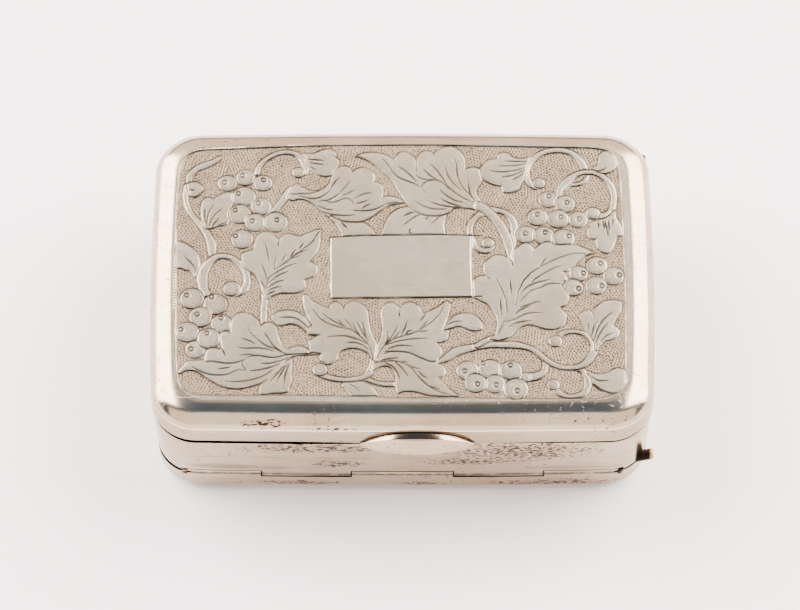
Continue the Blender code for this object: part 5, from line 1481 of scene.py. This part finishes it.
finish(pinShape("grillePin", grilleAxis, ends), "case", "pin_brass", brass, "grille_hinge_pin")
print("grille")

# Sponge
sponge = {"clear": 0.1, "topGap": 0.25, "round": 0.6, "crown": 0.12, "pull": 0.12, "pore": 1.35,
          "poreDepth": 0.5,
          "cell": 0.55, "cellDepth": 0.16, "step": 0.17}


def spongeTree():
    # Geometry Nodes: push large pores and fine cells into a pad, whose own points give the direction
    tree, start = newTree("spongePores",
                          {"Pad": "Geometry", "Pore size": "Float", "Pore depth": "Float",
                           "Cell size": "Float", "Cell depth": "Float", "Material": "Material"}, "Sponge")
    place = addNode(tree, "GeometryNodeInputPosition").outputs[0]
    normal = addNode(tree, "GeometryNodeInputNormal").outputs[0]
    pushes = []
    for size, depth, low, high in (("Pore size", "Pore depth", 0.22, 0.52),
                                   ("Cell size", "Cell depth", 0.15, 0.6)):
        scale = calc(tree, "DIVIDE", 1.0, start[size])
        cells = addNode(tree, "ShaderNodeTexVoronoi", {"Vector": place, "Scale": scale}, feature="F1")
        hollow = calc(tree, "SUBTRACT", 1.0, ramp(tree, cells.outputs["Distance"], low, high))
        pushes.append(calc(tree, "MULTIPLY", hollow, start[depth]))
    push = calc(tree, "MULTIPLY", calc(tree, "ADD", *pushes), -1.0)
    offset = addNode(tree, "ShaderNodeVectorMath", {0: normal, "Scale": push}, operation="SCALE").outputs[0]
    moved = addNode(tree, "GeometryNodeSetPosition", {"Geometry": start["Pad"], "Offset": offset})
    # How deep each point was pushed, kept for the sponge's painted shade
    kept = addNode(tree, "GeometryNodeStoreNamedAttribute", {"Geometry": moved.outputs[0], "Name": "hollow",
                   "Value": calc(tree, "DIVIDE", calc(tree, "MULTIPLY", push, -1.0), start["Pore depth"])},
                   data_type="FLOAT", domain="POINT")
    real = addNode(tree, "GeometryNodeRealizeInstances", {0: kept.outputs[0]})
    done = addNode(tree, "GeometryNodeSetMaterial",
                   {"Geometry": real.outputs[0], "Material": start["Material"]})
    addNode(tree, "NodeGroupOutput", {0: done.outputs[0]})
    return tree


def spongePad():
    # Crowned pad with rounded edges, its sides pulled in a little between the corners
    inset = ledgeOuter + inner["ledgeWidth"] + sponge["clear"]
    low, high = partitionTop + sponge["clear"], grilleLow - sponge["topGap"]
    halfX, halfY = box["width"] / 2 - inset, box["depth"] / 2 - inset
    step = sponge["step"] * 1
    levels = []
    turns = np.linspace(0, math.pi / 2, max(3, round(sponge["round"] * 1.6 / step)) + 1)
    for turn in turns:
        levels.append((sponge["round"] * (1 - math.sin(turn)), low + sponge["round"] * (1 - math.cos(turn))))
    count = max(2, round((high - low - 2 * sponge["round"]) / step))
    for share in np.linspace(0, 1, count + 1)[1:-1]:
        levels.append((0.0, low + sponge["round"] + (high - low - 2 * sponge["round"]) * share))
    for turn in turns[::-1]:
        levels.append((sponge["round"] * (1 - math.sin(turn)),
                       high - sponge["round"] * (1 - math.cos(turn))))
    # the flat faces go on inward as shrinking rings
    flat = [sponge["round"] + share * (halfY - sponge["round"] - 0.3)
            for share in np.linspace(0, 1, round((halfY - 0.9) / step))[1:]]
    levels = [(more, low) for more in flat[::-1]] + levels + [(more, high) for more in flat]
    rings = []
    for more, z in levels:
        plan = roundedPlan(halfX - more, halfY - more, max(box["corner"] - inset / 2 - more, 0.3))
        across, along = plan[:, 0] / halfX, plan[:, 1] / halfY
        dome = (1 - across ** 2) * (1 - along ** 2)
        pull = sponge["pull"] * (1 - np.minimum(np.abs(across), np.abs(along)) ** 2)
        plan = plan * (1 - (pull / np.array([[halfX], [halfY]])).T)
        share = (z - low) / (high - low)
        rings.append(np.column_stack([plan, z - sponge["crown"] * share * (1 - dome)]))
    return loft("spongePad", rings, sharpDeg=80.0)


def drySponge(name):
    # Dry natural sponge: matt honey-brown walls, with painted shade in the pores
    material, tree, shader = newMaterial(name)
    place = addNode(tree, "ShaderNodeTexCoord").outputs["Object"]
    hollow = addNode(tree, "ShaderNodeAttribute", attribute_name="hollow").outputs["Fac"]
    base = mix(tree, speckle(tree, place, 2.5, 4.0), colour("#c39a5e"), colour("#a77b43"))
    base = mix(tree, ramp(tree, speckle(tree, place, 0.16, 5.0), 0.4, 0.7), base, colour("#8a6233"))
    # Painted shade: darker the deeper a point sits in a pore
    base = mix(tree, ramp(tree, hollow, 0.05, 0.9), base, colour("#4b3118"))
    grain = calc(tree, "ADD", speckle(tree, place, 0.12, 5.0), speckle(tree, place, 0.05, 3.0))
    bump = addNode(tree, "ShaderNodeBump",
                   {"Height": grain, "Distance": 0.05 * metresPerMm, "Strength": 1.0}).outputs[0]
    tree.links.new(base, shader.inputs["Base Color"])
    tree.links.new(bump, shader.inputs["Normal"])
    rough = calc(tree, "MULTIPLY_ADD", speckle(tree, place, 0.4, 3.0), 0.1, 0.85)
    tree.links.new(rough, shader.inputs["Roughness"])
    shader.inputs["Sheen Weight"].default_value = 0.2
    return material


pad = spongePad()
spongeStuff = drySponge("drySponge")
growOn(pad, spongeTree(), {"Pore size": sponge["pore"] * metresPerMm,
                           "Pore depth": sponge["poreDepth"] * metresPerMm,
                           "Cell size": sponge["cell"] * metresPerMm,
                           "Cell depth": sponge["cellDepth"] * metresPerMm,
                           "Material": spongeStuff})
shadePiece(pad, 80.0)
finish(pad, "case", "sponge", spongeStuff, "sponge")
print("sponge")

# Floor, lights and camera
stage = {"floor": "#e2dedb", "floorSize": 3.0, "ambient": "#7b9fc2", "ambientPower": 0.72}
floorMesh = bpy.data.meshes.new("floor")
half = stage["floorSize"] / 2
floorMesh.from_pydata([(-half, -half, 0), (half, -half, 0), (half, half, 0), (-half, half, 0)], [],
                      [(0, 1, 2, 3)])
floor = bpy.data.objects.new("floor", floorMesh)
scene.collection.objects.link(floor)
floor.location = (0, 0, -0.00002)
paper, tree, shader = newMaterial("paleFloor")
shader.inputs["Base Color"].default_value = colour(stage["floor"])
shader.inputs["Roughness"].default_value = 0.9
floorMesh.materials.append(paper)

world = bpy.data.worlds.new("studio")
scene.world = world
world.use_nodes = True
world.node_tree.nodes["Background"].inputs[0].default_value = colour(stage["ambient"])
world.node_tree.nodes["Background"].inputs[1].default_value = stage["ambientPower"]

# Soft lights: direction from the box as azimuth (from the front, to the right) and height in degrees,
# how far, how wide and tall in metres, and how bright each one looks
lights = {
    "backCeiling": {"from": (180, 62.5), "far": 0.9, "size": (0.6, 0.32), "bright": 0.62, "tint": "#fff5e6"},
    "backWall": {"from": (180, 32), "far": 0.9, "size": (1.2, 0.74), "bright": 2.7, "tint": "#ffecd4"},
    "leftWindow": {"from": (-116, 32), "far": 0.62, "size": (0.68, 0.74), "bright": 20.0, "tint": "#fff8f8"},
    "rightWindow": {"from": (116, 34), "far": 0.62, "size": (0.72, 0.72), "bright": 19.5, "tint": "#fff8f4"},
    "frontCard": {"from": (0, 28), "far": 0.7, "size": (2.3, 0.82), "bright": 2.8, "tint": "#fff0e0"}}
for name, look in lights.items():
    turn, height = [math.radians(value) for value in look["from"]]
    toward = Vector((math.sin(turn) * math.cos(height), -math.cos(turn) * math.cos(height),
                     math.sin(height)))
    lamp = bpy.data.lights.new(name, "AREA")
    lamp.shape = "RECTANGLE"
    lamp.size, lamp.size_y = look["size"]
    lamp.energy = look["bright"] * math.pi * lamp.size * lamp.size_y
    lamp.color = colour(look["tint"])[:3]
    holder = bpy.data.objects.new(name, lamp)
    holder.location = toward * look["far"]
    holder.rotation_euler = (-toward).to_track_quat("-Z", "Y").to_euler()
    scene.collection.objects.link(holder)

lens = bpy.data.cameras.new("camera")
lens.lens, lens.sensor_width = view["lens"], view["sensor"]
lens.clip_start, lens.clip_end = 0.01, 10.0
camera = bpy.data.objects.new("camera", lens)
up = math.radians(view["elevation"])
offset = Vector((0, -math.cos(up), math.sin(up))) * view["distance"]
camera.location = Vector(view["aim"]) + offset
camera.rotation_euler = (-offset).to_track_quat("-Z", "Y").to_euler()
scene.collection.objects.link(camera)
scene.camera = camera
print("stage")
